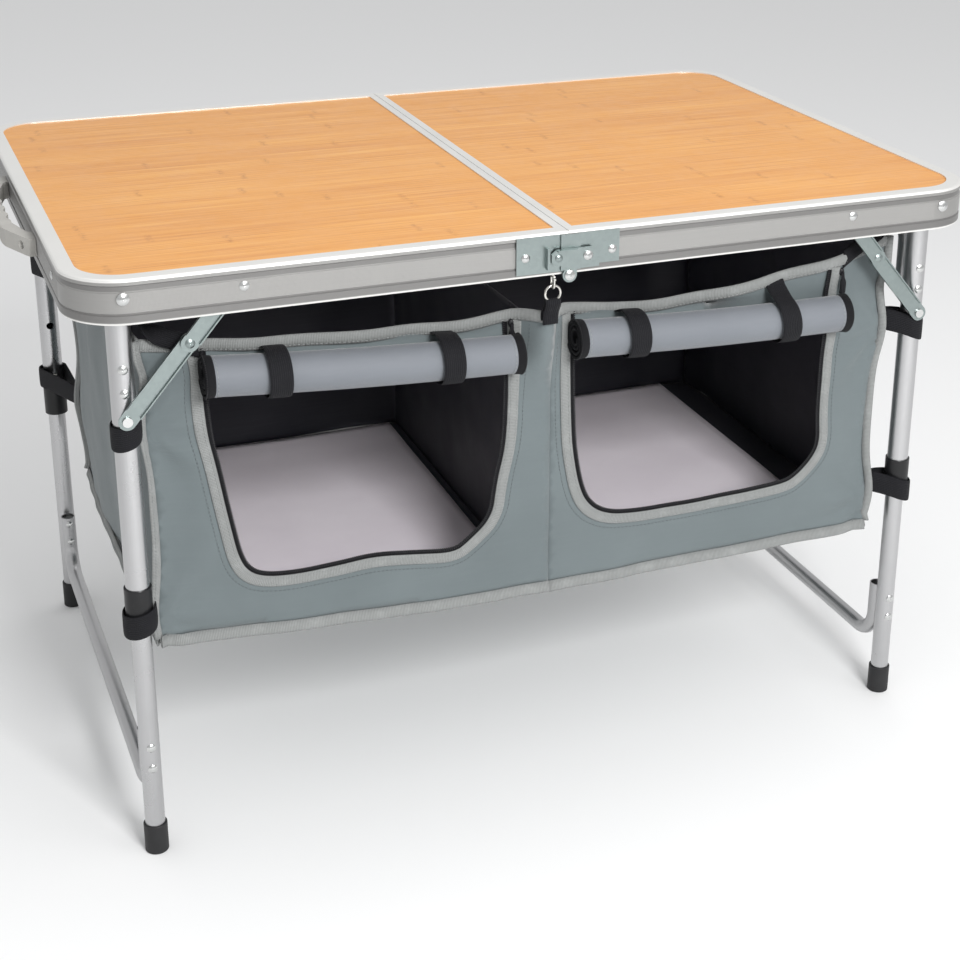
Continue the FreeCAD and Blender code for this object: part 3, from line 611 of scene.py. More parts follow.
def bead_row(name, seat, facing, side, slot, material, kind):
    """Small round-ended bars at even distances on a line, laid along it or across it."""
    points, faces = [], []
    reach, wide, tall = (size * MM for size in kind["size"])
    sides, profile, pitch = kind["sides"], kind["profile"], kind["pitch"] * MM
    line = spaced(seat, pitch)
    for at, after in zip(line, line[1:]):
        ahead = (after - at).normalized()
        beside = ahead.cross(facing).normalized()
        if kind["lengthways"]:
            middle, axis, across = at + ahead * pitch / 2, ahead, beside
        else:
            middle, axis, across = at, beside, ahead
        start = len(points)
        for share, girth in profile:
            for turn in evenly(0.0, math.tau, sides)[:-1]:
                out = across * wide * math.cos(turn) + facing * tall * math.sin(turn)
                points.append(middle + axis * reach * share + out * girth)
        last = len(points) - sides
        for ring in range(start, last, sides):
            for k in range(sides):
                a, b = ring + k, ring + (k + 1) % sides
                faces.append((a, b, b + sides, a + sides))
        faces.append(tuple(start + k for k in reversed(range(sides))))
        faces.append(tuple(last + k for k in range(sides)))
    return piece(name, points, faces, side, slot, [material])


def stitches(name, seat, up, side, material=GREY_THREAD):
    return bead_row(name, seat, up.normalized(), side, "grey_fabric", material, STITCH)


def zip_coil(name, seat, facing, side):
    return crumples(bead_row(name, seat, facing, side, "black_webbing", ZIP_TEETH, COIL))


def inside_ring(x, y, ring):
    """Which of the points lie inside a closed outline."""
    result = np.zeros(len(x), bool)
    for (ax, ay), (bx, by) in zip(ring, ring[1:] + ring[:1]):
        crosses = (ay > y) != (by > y)
        if ay != by:
            result ^= crosses & (x < (bx - ax) * (y - ay) / (by - ay) + ax)
    return result


def inside_cut(x, y, rings):
    """Which of the points lie inside the first outline and outside its holes."""
    result = inside_ring(x, y, rings[0])
    for hole in rings[1:]:
        result &= ~inside_ring(x, y, hole)
    return result


def ring_area(ring):
    pairs = zip(ring, ring[1:] + ring[:1])
    return abs(sum(a[0] * b[1] - b[0] * a[1] for a, b in pairs)) / 2


def cloth_panel(name, side, rings, place, outward,
                replaces=None, slot="grey_fabric", materials=(GREY, LINING)):
    """A sheet cut to a flat outline, with holes, and laid where place(u, v) says."""
    edges, flat = [], []
    for ring in rings:
        start, count = len(flat), len(ring)
        flat += ring
        edges += [(start + i, start + (i + 1) % count) for i in range(count)]
    fixed = np.array(flat)
    lo, hi = fixed.min(0), fixed.max(0)
    us, vs = np.meshgrid(np.arange(lo[0], hi[0], GRID), np.arange(lo[1], hi[1], GRID * 0.87))
    us = us + (np.arange(us.shape[0]) % 2)[:, None] * GRID / 2
    us, vs = us.ravel(), vs.ravel()
    keep = inside_cut(us, vs, rings)
    grid = np.stack([us[keep], vs[keep]], 1)
    near = np.array([np.min(np.hypot(*(fixed - p).T)) for p in grid])
    every = [Vector(p) for p in flat] + [Vector(p) for p in grid[near > GRID * 0.55]]
    points, _, faces, *_ = geometry.delaunay_2d_cdt(every, edges, [], 0, 1e-7)
    middle = np.array([np.mean([points[i] for i in face], axis=0) for face in faces])
    shown = inside_cut(middle[:, 0], middle[:, 1], rings)
    faces = [list(face) for face, use in zip(faces, shown) if use]
    placed = [place(p.x, p.y) for p in points]
    a, b, c = (placed[i] for i in faces[0][:3])
    if (b - a).cross(c - a).dot(outward) < 0:
        faces = [face[::-1] for face in faces]
    used = sorted({i for face in faces for i in face})
    number = {old: new for new, old in enumerate(used)}
    faces = [[number[i] for i in face] for face in faces]
    made = piece(name, [placed[i] for i in used], faces, side, slot, materials)
    thicken(made, CLOTH, len(materials) - 1)
    if replaces:
        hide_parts(replaces)
    area = ring_area(rings[0]) - sum(ring_area(hole) for hole in rings[1:])
    crumples(made)


# ---------------------------------------------------------------- organiser
HOOK_AT = (low("hanger_ring") + high("hanger_ring")) / 2
HOOK_PULL = FRONT - HOOK_AT.y - 4 * MM
REAR_HEM = HEM + 8 * MM
# The cloth is slack at the bag's upright corners, except near the straps, the hem and the floor.
CORNER_SLACK = 6 * MM
CORNER_REACH = 55 * MM
STRAP_HOLD = 34 * MM
HEM_HOLD, FLOOR_HOLD = 0.478, 0.222
STRAP_LEVELS = {"front": (0.436, 0.248), "rear": (0.436, 0.297)}
SPANS = {"left": (LEFT, SEAM), "right": (SEAM, RIGHT)}
ENDS = {"left": (LEFT, -1), "right": (RIGHT, 1)}
TO_FRONT = Vector((0, -1, 0))
TO_BACK = Vector((0, 1, 0))
DOWN = Vector((0, 0, -1))


def pulled(point):
    """The cloth's own shape: drawn out at the straps, slack between, and forward at the hook."""
    x, y, z = point
    moved = Vector(point)
    for corner_x, outward in ENDS.values():
        for end, corner_y, back in (("front", FRONT, 1), ("rear", BACK, -1)):
            reach = math.hypot(x - corner_x, y - corner_y) / CORNER_REACH
            if reach > 3:
                continue
            held = sum(hump(z - level, STRAP_HOLD) for level in STRAP_LEVELS[end])
            held += smooth_step((z - HEM_HOLD) / 0.03) + 0.5 * smooth_step((FLOOR_HOLD - z) / 0.01)
            slack = CORNER_SLACK * max(0.0, 1 - held) * hump(reach, 1)
            moved.x -= outward * slack
            moved.y += back * slack * 0.7
    beside = hump(x - HOOK_AT.x, 18 * MM) * hump(y - FRONT, 30 * MM)
    moved.y -= HOOK_PULL * beside * smooth_step((z - 0.40) / 0.11)
    return moved


def hem_height(x):
    return through(HEM_POINTS, (x - SEAM) / MM) * MM


def bottom_height(x):
    return through(BOTTOM_POINTS, (x - SEAM) / MM) * MM


def under_hem(x):
    return hem_height(x) - 8.5 * MM


def back_top(x):
    """The back's hem, which sags between the ends."""
    return REAR_HEM - 22 * MM * arch((x - LEFT) / (RIGHT - LEFT))


def depth_share(y):
    return (y - FRONT) / (BACK - FRONT)


def side_height(y, front_height):
    """A side's hem, from the front corner back to the rear one, with a sag between."""
    share = depth_share(y)
    return front_height * (1 - share) + REAR_HEM * share - 11 * MM * arch(share)


def side_base(y, front_base):
    share = depth_share(y)
    return front_base * (1 - share) + FLOOR * share


def floor_lift(x, y):
    """How far the floor rises or falls towards the front panel's bottom edge."""
    return (bottom_height(x) - FLOOR) * smooth_step((FRONT + 0.09 - y) / 0.09)


def ripple(x, y, z, scale, amount):
    return noise.noise(Vector((x * scale, y * scale, z * scale))) * amount


def tug(distance_1, distance_2, amount):
    """Creases that fan out from a strap's corner and die away from it."""
    reach = math.hypot(distance_1, distance_2)
    fan = math.sin(7.5 * math.atan2(distance_2, max(distance_1, 1e-6)) + 0.6)
    return amount * fan * hump(reach, 0.085) * smooth_step(reach / 0.02)


def front_face(x, z):
    """The front panel: a soft belly, creases at the straps, a slack hem."""
    base, top = bottom_height(x), hem_height(x)
    h = (z - base) / (top - base)
    free = smooth_step(min(x - LEFT, RIGHT - x) / 0.06)
    belly = 5.0 * MM * arch(clamp(h)) * free
    waves = math.sin((x - SEAM) * math.tau / 0.097 + 1.1)
    slack = 2.2 * MM * waves * smooth_step((h - 0.70) / 0.3) * free
    soft = (ripple(x, 1.7, z * 0.7, 8.0, 6.5 * MM) + ripple(x, 4.1, z, 22.0, 1.5 * MM)) * free
    tugs = sum(
        tug(abs(x - edge), z - level, 1.9 * MM) for edge in (LEFT, RIGHT) for level in (0.433, 0.240)
    )
    droop = 1.8 * MM * smooth_step((0.12 - h) / 0.12) * free
    return pulled((x, FRONT - belly - slack - soft - tugs - droop, z))


def back_face(x, z):
    """The back panel: a belly, a slack hem and soft folds."""
    h = (z - FLOOR) / (HEM - FLOOR)
    free = smooth_step(min(x - LEFT, RIGHT - x) / 0.06)
    belly = 4.5 * MM * arch(clamp(h)) * free
    slack = 2.6 * MM * math.sin(x * math.tau / 0.11) * smooth_step((h - 0.7) / 0.3) * free
    soft = (ripple(x, 9.7, z * 0.6, 7.0, 9.0 * MM) + ripple(x, 6.3, z, 21.0, 1.8 * MM)) * free
    return pulled((x, BACK + belly + slack + soft, z))


def side_face(x, outward):
    """An end panel, which billows out a little in upright folds."""
    def place(y, z):
        share = depth_share(y)
        free = smooth_step(min(share, 1 - share) / 0.12)
        h = clamp((z - FLOOR) / (HEM - FLOOR))
        folds = 2.6 * MM * math.sin(y * math.tau / 0.13 + 0.8) * (0.35 + 0.65 * h)
        soft = ripple(x * 3, y, z * 0.5, 9.0, 5.0 * MM) + ripple(x, y, z, 24.0, 1.3 * MM)
        return pulled((x + outward * (folds + soft + 5.0 * MM * arch(h)) * free, y, z))

    return place


def floor_face(x, y):
    """The floor, which sags a little inside its edges."""
    inset = min(x - LEFT, RIGHT - x, y - FRONT, BACK - y)
    drop = 2.0 * MM * smooth_step(inset / 0.08)
    drop += ripple(x, y, 3.3, 12.0, 1.2 * MM) * smooth_step(inset / 0.05)
    return pulled((x, y, FLOOR + floor_lift(x, y) - drop))


def divider_face(y, z):
    """The wall between the compartments, in soft folds."""
    soft = ripple(2.2, y, z * 0.6, 9.0, 7.0 * MM) + ripple(5.0, y, z, 24.0, 1.6 * MM)
    return pulled((DIVIDER + soft * arch(clamp((z - FLOOR) / (HEM - FLOOR))), y, z))


def hung_outline(x0, x1, base, top):
    """A closed outline between two uprights, whose lower and upper edges are curves."""
    xs = evenly(x0, x1, round((x1 - x0) / GRID))
    lower = [(x, base(x)) for x in xs]
    upper = [(x, top(x)) for x in reversed(xs)]
    return lower + walk(lower[-1], upper[0], GRID)[1:] + upper + walk(upper[-1], lower[0], GRID)[1:]


def doorway(points):
    """A doorway's edge as an open smooth line, from its top left round to its top right."""
    moved = [Vector((x * MM + SEAM, z * MM)) for x, z in points]
    for end in (moved[0], moved[-1]):
        end.y = under_hem(end.x)
    return spaced(rounded_line(moved), 5.0 * MM)


DOORWAYS = {"left": doorway(LEFT_DOORWAY), "right": doorway(RIGHT_DOORWAY)}


def outward_normals(line):
    """At each point of a doorway's edge, the flat direction away from the opening."""
    result = []
    for i in range(len(line)):
        a, b = line[max(i - 1, 0)], line[min(i + 1, len(line) - 1)]
        along = (b - a).normalized()
        result.append(Vector((along.y, -along.x)))
    return result


def on_front(point, lift):
    """A point on the front panel's cloth, lifted off it toward the viewer."""
    placed = front_face(point.x, point.y)
    placed.y -= lift
    return placed


def edge_binding(name, seat, outward, side):
    """Tape folded over a hem: down the outside, over the edge, down the inside."""
    # Each pair: how far down from the edge, and how far out from the cloth's outside.
    section = (
        (BINDING, BINDING_LIFT), (BINDING * 0.5, BINDING_LIFT + 0.5 * MM),
        (0.8 * MM, BINDING_LIFT + 0.2 * MM), (-1.3 * MM, 0.0),
        (0.8 * MM, -BINDING_LIFT - CLOTH), (BINDING, -BINDING_LIFT - CLOTH),
    )
    rows = [[at + DOWN * drop + outward * out for drop, out in section] for at in seat]
    crumples(strip(name, rows, side, "grey_fabric", [BOUND], BINDING_THICK))
    line = [at + DOWN * (BINDING - 1.6 * MM) + outward * (BINDING_LIFT + 0.75 * MM) for at in seat]
    crumples(stitches(name + "_stitches", line, outward, side))


def flange(name, seat, outward, side, width=9.0 * MM):
    """A bound seam that stands out from an edge where two panels meet."""
    rows, line = [], []
    for i, at in enumerate(seat):
        ahead = (seat[min(i + 1, len(seat) - 1)] - seat[max(i - 1, 0)]).normalized()
        beside = ahead.cross(outward).normalized()
        wave = ripple(at.x, at.y, at.z, 31.0, 2.6 * MM) * smooth_step(min(i, len(seat) - 1 - i) / 6)
        tip = at + outward * width + beside * wave
        thick = beside * FLANGE_THICK
        root, half_way, shoulder = at - outward * 1.5 * MM, at.lerp(tip, 0.5), tip - outward * 0.6 * MM
        rows.append([
            root + thick, half_way + thick * 1.1, shoulder + thick * 0.8, tip + outward * 0.5 * MM,
            shoulder - thick * 0.8, half_way - thick * 1.1, root - thick,
        ])
        line.append(at.lerp(tip, 0.62) + thick * 1.45)
    crumples(strip(name, rows, side, "grey_fabric", [BOUND], 0.5 * MM))
    crumples(stitches(name + "_stitches", line, beside, side))


def front_panels():
    for side, (x0, x1) in SPANS.items():
        hole = [tuple(p) for p in DOORWAYS[side]]
        hole += [(x, under_hem(x)) for x, _ in walk(hole[-1], hole[0], GRID)[1:]]
        cloth_panel(
            f"organiser_front_{side}", side, [hung_outline(x0, x1, bottom_height, hem_height), hole],
            front_face, TO_FRONT,
            replaces="organiser_front_panel" if side == "left" else None,
        )


def back_panels():
    for side, (x0, x1) in SPANS.items():
        cloth_panel(
            f"organiser_back_{side}", side, [hung_outline(x0, x1, lambda x: FLOOR, back_top)],
            back_face, TO_BACK,
            replaces="organiser_back_panel" if side == "left" else None,
        )
        xs = evenly(x0, x1, round((x1 - x0) / (9 * MM)))
        seat = [back_face(x, back_top(x)) for x in xs]
        edge_binding(f"back_hem_binding_{side}", seat, TO_BACK, side)


def side_panels():
    for side, (x, outward) in ENDS.items():
        front_top, front_base = hem_height(x), bottom_height(x)
        place = side_face(x, outward)
        outline = hung_outline(
            FRONT, BACK, lambda y: side_base(y, front_base), lambda y: side_height(y, front_top)
        )
        out = Vector((outward, 0, 0))
        cloth_panel(
            f"organiser_{side}_end", side, [outline], place, out,
            replaces=f"organiser_{side}_side",
        )
        seat = [place(y, side_height(y, front_top)) for y in evenly(FRONT, BACK, 50)]
        edge_binding(f"{side}_end_hem_binding", seat, out, side)


def floor_and_divider():
    for side, (x0, x1) in SPANS.items():
        cloth_panel(
            f"organiser_floor_{side}", side, [hung_outline(x0, x1, lambda x: FRONT, lambda x: BACK)],
            floor_face, DOWN,
            replaces="organiser_floor" if side == "left" else None,
        )
    inset = 3 * MM
    outline = hung_outline(
        FRONT + inset, BACK - inset, lambda y: FLOOR + inset,
        lambda y: HEM - 14 * MM - 6 * MM * arch(depth_share(y)),
    )
    cloth_panel(
        "organiser_middle_wall", "left", [outline], divider_face, Vector((-1, 0, 0)),
        replaces="organiser_divider", slot="dark_fabric", materials=[LINING],
    )


def front_trim():
    """The front hem's binding, and the bound seams along the bag's bottom and corners."""
    for side, (x0, x1) in SPANS.items():
        xs = evenly(x0, x1, 60)
        edge_binding(
            f"front_hem_binding_{side}", [front_face(x, hem_height(x)) for x in xs], TO_FRONT, side
        )
        base = [front_face(x, bottom_height(x)) for x in xs]
        flange(f"front_bottom_binding_{side}", base, Vector((0, -0.34, -0.94)), side)
        base = [back_face(x, FLOOR) for x in xs]
        flange(f"back_bottom_binding_{side}", base, Vector((0, 0.34, -0.94)), side)
        x, out = ENDS[side]
        for end, y, lean, lo, hi in (
            ("front", FRONT, -0.55, bottom_height(x), hem_height(x)),
            ("back", BACK, 0.55, FLOOR, HEM + 7 * MM),
        ):
            corner = [pulled((x, y, z)) for z in evenly(lo, hi, 44)]
            flange(f"{side}_{end}_corner_binding", corner, Vector((out * 0.83, lean, 0)), side, 6 * MM)
        foot = [pulled((x, y, side_base(y, bottom_height(x)))) for y in evenly(FRONT, BACK, 44)]
        flange(f"{side}_end_bottom_binding", foot, Vector((out * 0.34, 0, -0.94)), side)


def doorway_trim(side):
    """Grey binding, black zip tape with its coil, and the stitch lines round a doorway."""
    edge = list(zip(DOORWAYS[side], outward_normals(DOORWAYS[side])))

    def along(offset, lift):
        """A line beside the doorway's edge, away from the opening, and off the cloth."""
        return [on_front(p + n * offset * MM, lift * MM) for p, n in edge]

    def band(name, offsets, slot, material, thickness):
        rows = [list(row) for row in zip(*(along(*pair) for pair in offsets))]
        crumples(strip(f"{side}_doorway_{name}", rows, side, slot, [material], thickness))

    def seam(name, offset, lift, material=GREY_THREAD):
        line = along(offset, lift)
        crumples(stitches(f"{side}_doorway_{name}_stitches", line, TO_FRONT, side, material))

    wide, tape = BINDING / MM, TAPE / MM
    band(
        "binding", ((-0.6, 0.4), (0.6, 1.3), (wide * 0.5, 1.6), (wide - 0.8, 1.2), (wide, 0.5)),
        "grey_fabric", BOUND, BINDING_THICK,
    )
    band(
        "zip_tape", ((-tape, 0.3), (-tape * 0.4, 0.1), (0.6, -0.2)),
        "black_webbing", ZIP_TAPE, 0.8 * MM,
    )
    zip_coil(f"{side}_doorway_zip_coil", along(0.6 - tape, 0.9), TO_FRONT, side)
    seam("inner", 1.9, 2.1)
    seam("outer", wide - 1.8, 1.75)
    seam("cloth", wide + 5.5, 0.15, DARK_THREAD)


# ---- rolled-up doors
def roll_place(side):
    """Where a door's roll hangs: a little behind its CAD solid, and fuller by the loose cloth."""
    lo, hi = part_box(f"{side}_rolled_door")
    return {
        "x": (lo.x, hi.x), "y": (lo.y + hi.y) / 2 + 1.6 * MM, "z": (lo.z + hi.z) / 2,
        "radius": (hi.z - lo.z) / 2 + 2.2 * MM,
    }


ROLLS = {side: roll_place(side) for side in HALVES}
ROLL_TILT = {"left": (0.009, -0.009), "right": (-0.002, -0.012)}
ROLL_SAG = 2.2 * MM
ROLL_TURNS = 3.6
ROLL_STEPS = 84
ROLL_START = math.radians(20)
ROLL_CORE = 5.0 * MM
ROLL_TAPE = 9.0 * MM
TAPE_RISE = 0.9 * MM
ROLL_STRAP_HALF = 10.8 * MM


def roll_axis(side, x):
    """The roll's middle at x: it hangs a little lower between and past its straps."""
    roll = ROLLS[side]
    x0, x1 = roll["x"]
    share = (x - x0) / (x1 - x0)
    start, end = ROLL_TILT[side]
    return Vector((x, roll["y"], roll["z"] + start + (end - start) * share - ROLL_SAG * arch(share)))


def rolled_section(side, x, radius):
    """The door's cloth at x, from the panel's inside down to the middle of the roll."""
    axis = roll_axis(side, x)
    panel = front_face(x, under_hem(x)).y + 2.0 * MM
    line = [
        Vector((x, panel, hem_height(x) - 4 * MM)), Vector((x, panel, under_hem(x) - 4 * MM)),
        Vector((x, (panel + axis.y + radius) / 2, axis.z + radius * 1.05)),
    ]
    for i in range(ROLL_STEPS + 1):
        share = i / ROLL_STEPS
        turn = ROLL_START - share * ROLL_TURNS * math.tau
        reach = radius + (ROLL_CORE - radius) * share
        reach += ripple(x * 0.5, turn * 0.2, share, 2.0, 1.0 * MM) * (0.4 + share)
        flatter = 1.0 - 0.05 * math.cos(2 * turn)
        line.append(axis + Vector((0, math.cos(turn) * reach, math.sin(turn) * reach * flatter)))
    return line


def rolled_door(side):
    x0, x1 = ROLLS[side]["x"]
    radius = ROLLS[side]["radius"] - 1.2 * MM
    end_steps = (0, 3 * MM, 6 * MM, ROLL_TAPE - 0.4 * MM, ROLL_TAPE + 0.4 * MM)
    xs = [x0 + step for step in end_steps] + evenly(x0 + ROLL_TAPE, x1 - ROLL_TAPE, 40)[1:-1]
    xs += [x1 - step for step in reversed(end_steps)]
    rows = []
    for x in xs:
        end = min(x - x0, x1 - x) / ROLL_TAPE
        rows.append(rolled_section(side, x, radius + TAPE_RISE * smooth_step(1.3 - end)))
    made = strip(f"{side}_door_roll", rows, side, "grey_fabric", [ROLL_GREY, ZIP_TAPE, GREY], 1.2 * MM)
    columns = len(rows[0]) - 1
    for face in made.data.polygons:
        row, column = divmod(face.index, columns)
        if row < 3 or row >= len(xs) - 4:
            face.material_index = 1
        elif column < 3:
            face.material_index = 2
    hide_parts(f"{side}_rolled_door")
    crumples(made)
    for end, x, inward in (("left", x0, 1), ("right", x1, -1)):
        name = f"{side}_door_roll_{end}"
        facing = Vector((inward, 0, 0))
        coil = [p + facing * 0.8 * MM for p in rolled_section(side, x, radius + TAPE_RISE)[3:]]
        zip_coil(f"{name}_coil", coil, -facing, side)
        seam = [
            p + (p - roll_axis(side, p.x)).normalized() * 0.9 * MM
            for p in rolled_section(side, x + inward * (ROLL_TAPE + 1.6 * MM), radius)[3:28]
        ]
        crumples(stitches(f"{name}_stitches", seam, facing, side))


def roll_strap(side, number, offset, lean):
    """A webbing strap that hangs from the hem, passes round the roll and returns to the panel."""
    reach = ROLLS[side]["radius"] + WEBBING_GAP
    columns = []
    for share in ACROSS:
        x = SEAM + offset * MM + ROLL_STRAP_HALF * share
        axis = roll_axis(side, x)
        top = under_hem(x)
        out = front_face(x, top).y
        line = [
            Vector((x, out - 0.1 * MM, top + 5 * MM)), Vector((x, out - 0.2 * MM, top - 1 * MM)),
            Vector((x, (out + axis.y) / 2, max(axis.z + reach * 1.04, (top + axis.z + reach) / 2))),
        ]
        for k in range(24):
            turn = math.radians(102 + 10.5 * k)
            line.append(axis + Vector((0, math.cos(turn) * reach, math.sin(turn) * reach)))
        line.append(Vector((x, FRONT - 4.5 * MM, axis.z - reach * 0.62)))
        for i, p in enumerate(line):
            p.x += lean * MM * (1 - i / len(line))
        columns.append(line)
    rows = [list(row) for row in zip(*columns)]
    rounded(webbing(f"{side}_roll_strap_{number}", rows, side))


# ---- webbing loops round the legs and the cross bars
LOOP_HALF = 12.0 * MM
CORNER_STRAP_HALF = 9.5 * MM
TAB_HALF = 7.6 * MM
# The loops' radii: the lower ones go round the collars.
LOOP_RADII = (11.4 * MM, 13.4 * MM)
# How far a loop falls from the bag to its leg, and the share of it that lies over the level.
LOOP_DROPS = {"left": 7 * MM, "right": 13 * MM}
LOOP_RISES = (0.6, 0.9)


def leg_loop(name, side, leg, corner, level, radius):
    """A loop from the bag's corner round a leg and back, which stays with the bag."""
    leg, corner = Vector(leg), Vector(corner)
    reach = radius + WEBBING_GAP
    to_leg = leg - corner
    span = to_leg.length
    angle = math.atan2(to_leg.y, to_leg.x)
    spread = math.acos(min(1.0, reach / span))
    arc = [
        leg + Vector((math.cos(turn), math.sin(turn))) * reach
        for turn in evenly(angle + math.pi - spread, angle + math.pi + spread - math.tau, 28)
    ]
    apart = Vector((0, 1.6 * MM))
    start, end = corner + apart, corner - apart
    rows = []
    for p in [start, start.lerp(arc[0], 0.5), *arc, arc[-1].lerp(end, 0.5), end]:
        away = (p - corner).length / (span + reach)
        centre = level - LOOP_DROPS[side] * away * away
        out = (p - leg).normalized() * 0.8 * MM * arch(away)
        rows.append([
            Vector((p.x + out.x * share, p.y + out.y * share, centre + LOOP_HALF * height))
            for height, share in ((-1.0, 0.0), (-0.5, 1.0), (0.0, 1.2), (0.5, 1.0), (1.0, 0.0))
        ])
    return rounded(webbing(name, rows, side))


def leg_loops():
    for side, (edge, _) in ENDS.items():
        for end, corner_y in (("front", FRONT + 4 * MM), ("rear", BACK - 4 * MM)):
            middle = (low(f"{end}_{side}_upper_tube") + high(f"{end}_{side}_upper_tube")) / 2
            leg, corner = middle.xy, (edge, corner_y)
            drop = LOOP_DROPS[side]
            kinds = zip(("upper", "lower"), STRAP_LEVELS[end], LOOP_RISES, LOOP_RADII)
            made = [
                leg_loop(f"{end}_{side}_{kind}_loop", side, leg, corner, level + rise * drop, radius)
                for kind, level, rise, radius in kinds
            ]
            if (end, side) == ("front", "left"):
                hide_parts("leg_straps")
            if end == "front":
                bar_loops(side, edge)
                corner_strap(side, edge)


def bar_middle(side):
    """The upper cross bar's middle in x, and its height where the loops hang."""
    lo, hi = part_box(f"{side}_upper_cross_bar")
    return (lo.x + hi.x) / 2, hi.z - 8 * MM


def bar_loops(side, edge):
    """Loops that hang the middle of each end panel from its upper cross bar."""
    bar_x, bar_z = bar_middle(side)
    swing = -1 if side == "left" else 1
    reach = 9.6 * MM
    for number, y in ((1, -0.060), (2, 0.140)):
        base = side_height(y, hem_height(edge)) - 6 * MM
        line = [Vector((edge, y, base)), Vector((edge, y, base + 8 * MM))]
        for k in range(19):
            turn = math.radians(200 - 13 * k)
            x = bar_x + swing * math.cos(turn) * reach
            line.append(Vector((x, y, bar_z + math.sin(turn) * reach)))
        line.append(Vector((edge + swing * 2.4 * MM, y, base + 6 * MM)))
        line.append(Vector((edge + swing * 2.6 * MM, y, base - 3 * MM)))
        rows = widened(spaced(line, 4 * MM), Vector((0, LOOP_HALF, 0)))
        webbing(f"{side}_bar_loop_{number}", rows, side)


def corner_strap(side, edge):
    """Webbing sewn across the front hem's corner, which goes up and over the upper cross bar."""
    bar_x, bar_z = bar_middle(side)
    inward = 1 if side == "left" else -1
    top = hem_height(edge)
    reach = 9.4 * MM
    slant = reach * 0.7
    start = edge + inward * 52 * MM
    points = [
        (start, FRONT - 3.0 * MM, hem_height(start) - 5 * MM),
        (edge + inward * 24 * MM, FRONT - 3.4 * MM, top + 1 * MM),
        (edge + inward * 6 * MM, FRONT, top + 8 * MM),
        (edge - inward * 2 * MM, FRONT + 16 * MM, bar_z - 2 * MM),
        (bar_x + inward * reach, FRONT + 36 * MM, bar_z),
        (bar_x + inward * slant, FRONT + 42 * MM, bar_z + slant),
    ]
    points += [
        (x, FRONT + 46 * MM, z) for x, z in (
            (bar_x, bar_z + reach), (bar_x - inward * slant, bar_z + slant),
            (bar_x - inward * reach, bar_z), (bar_x - inward * slant, bar_z - slant),
            (bar_x, bar_z - reach), (edge - inward * 3 * MM, bar_z - reach - 6 * MM),
            (edge - inward * 2 * MM, top - 8 * MM),
        )
    ]
    line = spaced(rounded_line(points, 2), 4 * MM)
    rows = []
    for i, p in enumerate(line):
        turned = smooth_step((i / len(line) - 0.08) / 0.35)
        wide = Vector((0, 0, 1)).lerp(Vector((0, 1, 0)), turned).normalized() * CORNER_STRAP_HALF
        rows += widened([p], wide)
    webbing(f"{side}_corner_strap", rows, side)


def hanger():
    """The webbing tab folded through the ring and sewn to the hem."""
    x, y = HOOK_AT.xy
    bottom = low("hanger_ring").z + 2.4 * MM
    base = hem_height(x) - 11 * MM
    cloth = front_face(x, base).y - 2.6 * MM
    line = [
        Vector((x, *place)) for place in (
            (cloth, base), (cloth - 0.4 * MM, base + 11 * MM), (y - 2.4 * MM, bottom - 4 * MM),
            (y - 1.9 * MM, bottom), (y, bottom + 1.3 * MM), (y + 1.9 * MM, bottom),
            (y + 2.2 * MM, bottom - 4 * MM), (cloth + 4.6 * MM, base + 11 * MM),
            (cloth + 4.4 * MM, base + 3 * MM),
        )
    ]
    rows = widened(spaced(rounded_line(line, 2), 1.5 * MM), Vector((TAB_HALF, 0, 0)))
    made = strip("hanger_webbing", rows, "left", "black_webbing", [BLACK_WEB], WEBBING_THICK)
    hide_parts("hanger_tab")
    crumples(made)


def zip_pull(side, offset, height, lean):
    """A slider on the coil with its cord pull hanging from it."""
    x = SEAM + offset
    at = Vector((x, front_face(x, height).y, height))
    rows = []
    for turn in evenly(0.0, math.tau, 12):
        across, up = math.cos(turn) * 2.6 * MM, math.sin(turn) * 4.0 * MM
        rows.append([
            at + Vector((across * wide, (-1.2 - rise) * MM, up * wide))
            for wide, rise in ((0.05, 2.2), (0.8, 2.0), (1.0, 0.8), (1.0, -0.6))
        ])
    crumples(strip(f"{side}_door_zip_slider", rows, side, "black_webbing", [ZIP_TEETH], 0.5 * MM))
    rows = []
    for share in evenly(0.0, 1.0, 11):
        centre = at + Vector((lean * share, -3.6 - 1.5 * math.sin(share * 3), -22 * share)) * MM
        width = (1.5 + 1.6 * smooth_step((share - 0.25) / 0.2)) * MM
        rows.append([
            centre + Vector((width * s, -0.5 * MM * (1 - s * s), 0)) for s in (-1, -0.4, 0.4, 1)
        ])
    webbing(f"{side}_door_zip_pull", rows, side, 1.6 * MM)


def base_boards():
    """The stiff boards in each compartment, with a slight warp."""
    steps = 36
    for side in HALVES:
        lo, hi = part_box(f"{side}_base_board")
        rows = []
        for i, x in enumerate(evenly(lo.x, hi.x, steps)):
            row = []
            for j, y in enumerate(evenly(lo.y, hi.y, steps)):
                z = (lo.z + hi.z) / 2 - 1.6 * MM * arch(i / steps) * arch(j / steps)
                z += max(0.0, floor_lift(x, y)) + ripple(x, y, 8.8, 9.0, 1.0 * MM)
                row.append(Vector((x, y, z)))
            rows.append(row)
        made = strip(f"{side}_stiffener", rows, side, "stiff_board", [BOARD], 3.0 * MM)
        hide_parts(f"{side}_base_board")
        crumples(made)


# ---------------------------------------------------------------- studio
FLOOR_REACH = 14.0
AIM = Vector((SEAM, 0, 0.35))
LIGHTS = (
    # name, place, width, watts
    ("front", (0.15, -2.5, 1.80), 0.8, 66.0),
    ("key", (1.8, -2.4, 2.6), 1.9, 14.0),
    ("top", (0.2, 0.7, 2.9), 2.2, 11.0),
)
CAMERA_AT = (-0.6120, -1.7452, 1.0721)
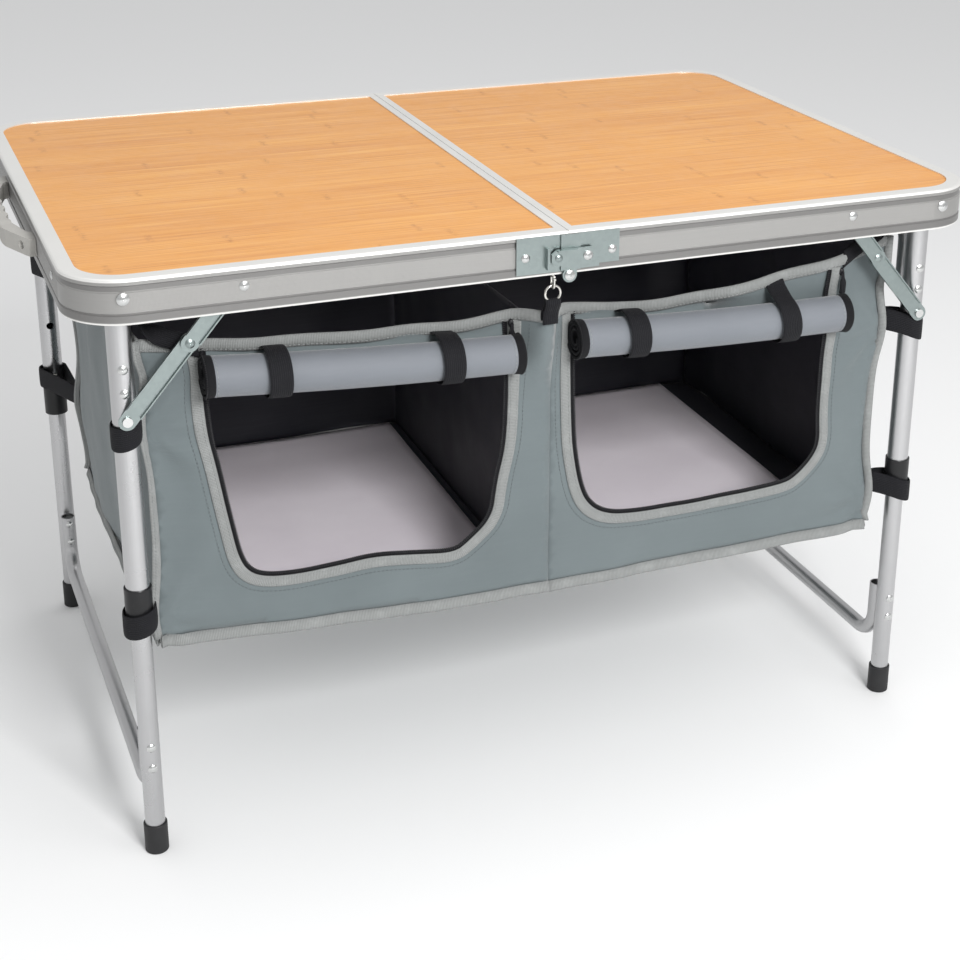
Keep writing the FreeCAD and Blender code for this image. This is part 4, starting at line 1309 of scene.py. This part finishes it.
# Azimuth, elevation and roll, in degrees.
CAMERA_TURN = (22.36, -20.67, 0.64)
CAMERA_LENS = 67.7
CAMERA_SHIFT = (-0.06, -0.14)


def in_scene(name, data):
    made = bpy.data.objects.new(name, data)
    bpy.context.scene.collection.objects.link(made)
    return made


def stand(made, at, quaternion):
    made.location = at
    made.rotation_mode = "QUATERNION"
    made.rotation_quaternion = quaternion


def studio():
    world = bpy.data.worlds.new("studio")
    bpy.context.scene.world = world
    world.use_nodes = True
    sky = world.node_tree.nodes["Background"]
    sky.inputs["Color"].default_value = (0.95, 0.955, 0.96, 1.0)
    sky.inputs["Strength"].default_value = 0.70
    pale = Finish("pale_floor", Roughness=0.9, Specular_IOR_Level=0.1)
    mesh = bpy.data.meshes.new("studio_floor")
    corners = [(x * FLOOR_REACH, y * FLOOR_REACH, 0) for x, y in ((-1, -1), (1, -1), (1, 1), (-1, 1))]
    mesh.from_pydata(corners, [], [(0, 1, 2, 3)])
    mesh.materials.append(pale.finish(Base_Color=(0.86, 0.86, 0.86, 1.0)))
    in_scene("studio_floor", mesh)
    for name, at, size, power in LIGHTS:
        light = bpy.data.lights.new(name, "AREA")
        light.size = size
        light.energy = power
        stand(in_scene(name, light), at, (AIM - Vector(at)).to_track_quat("-Z", "Y"))
    bpy.context.scene.view_settings.view_transform = "Standard"


def camera():
    data = bpy.data.cameras.new("camera")
    data.lens = CAMERA_LENS
    data.sensor_width = 36.0
    data.shift_x, data.shift_y = CAMERA_SHIFT
    data.clip_start, data.clip_end = 0.05, 60.0
    azimuth, elevation, roll = (math.radians(angle) for angle in CAMERA_TURN)
    level = math.cos(elevation)
    ahead = Vector((math.sin(azimuth) * level, math.cos(azimuth) * level, math.sin(elevation)))
    made = in_scene("camera", data)
    stand(made, CAMERA_AT, Quaternion(ahead, -roll) @ ahead.to_track_quat("-Z", "Y"))
    bpy.context.scene.camera = made


finish_cad_nodes()
front_panels()
back_panels()
side_panels()
floor_and_divider()
front_trim()
for half, straps in ROLL_STRAPS.items():
    doorway_trim(half)
    rolled_door(half)
    for place_number, (strap_at, strap_lean) in enumerate(straps, 1):
        roll_strap(half, place_number, strap_at, strap_lean)
leg_loops()
hanger()
base_boards()
zip_pull("right", 0.316, 0.503, 1.0)
zip_pull("left", -0.040, 0.492, -1.0)
studio()
camera()
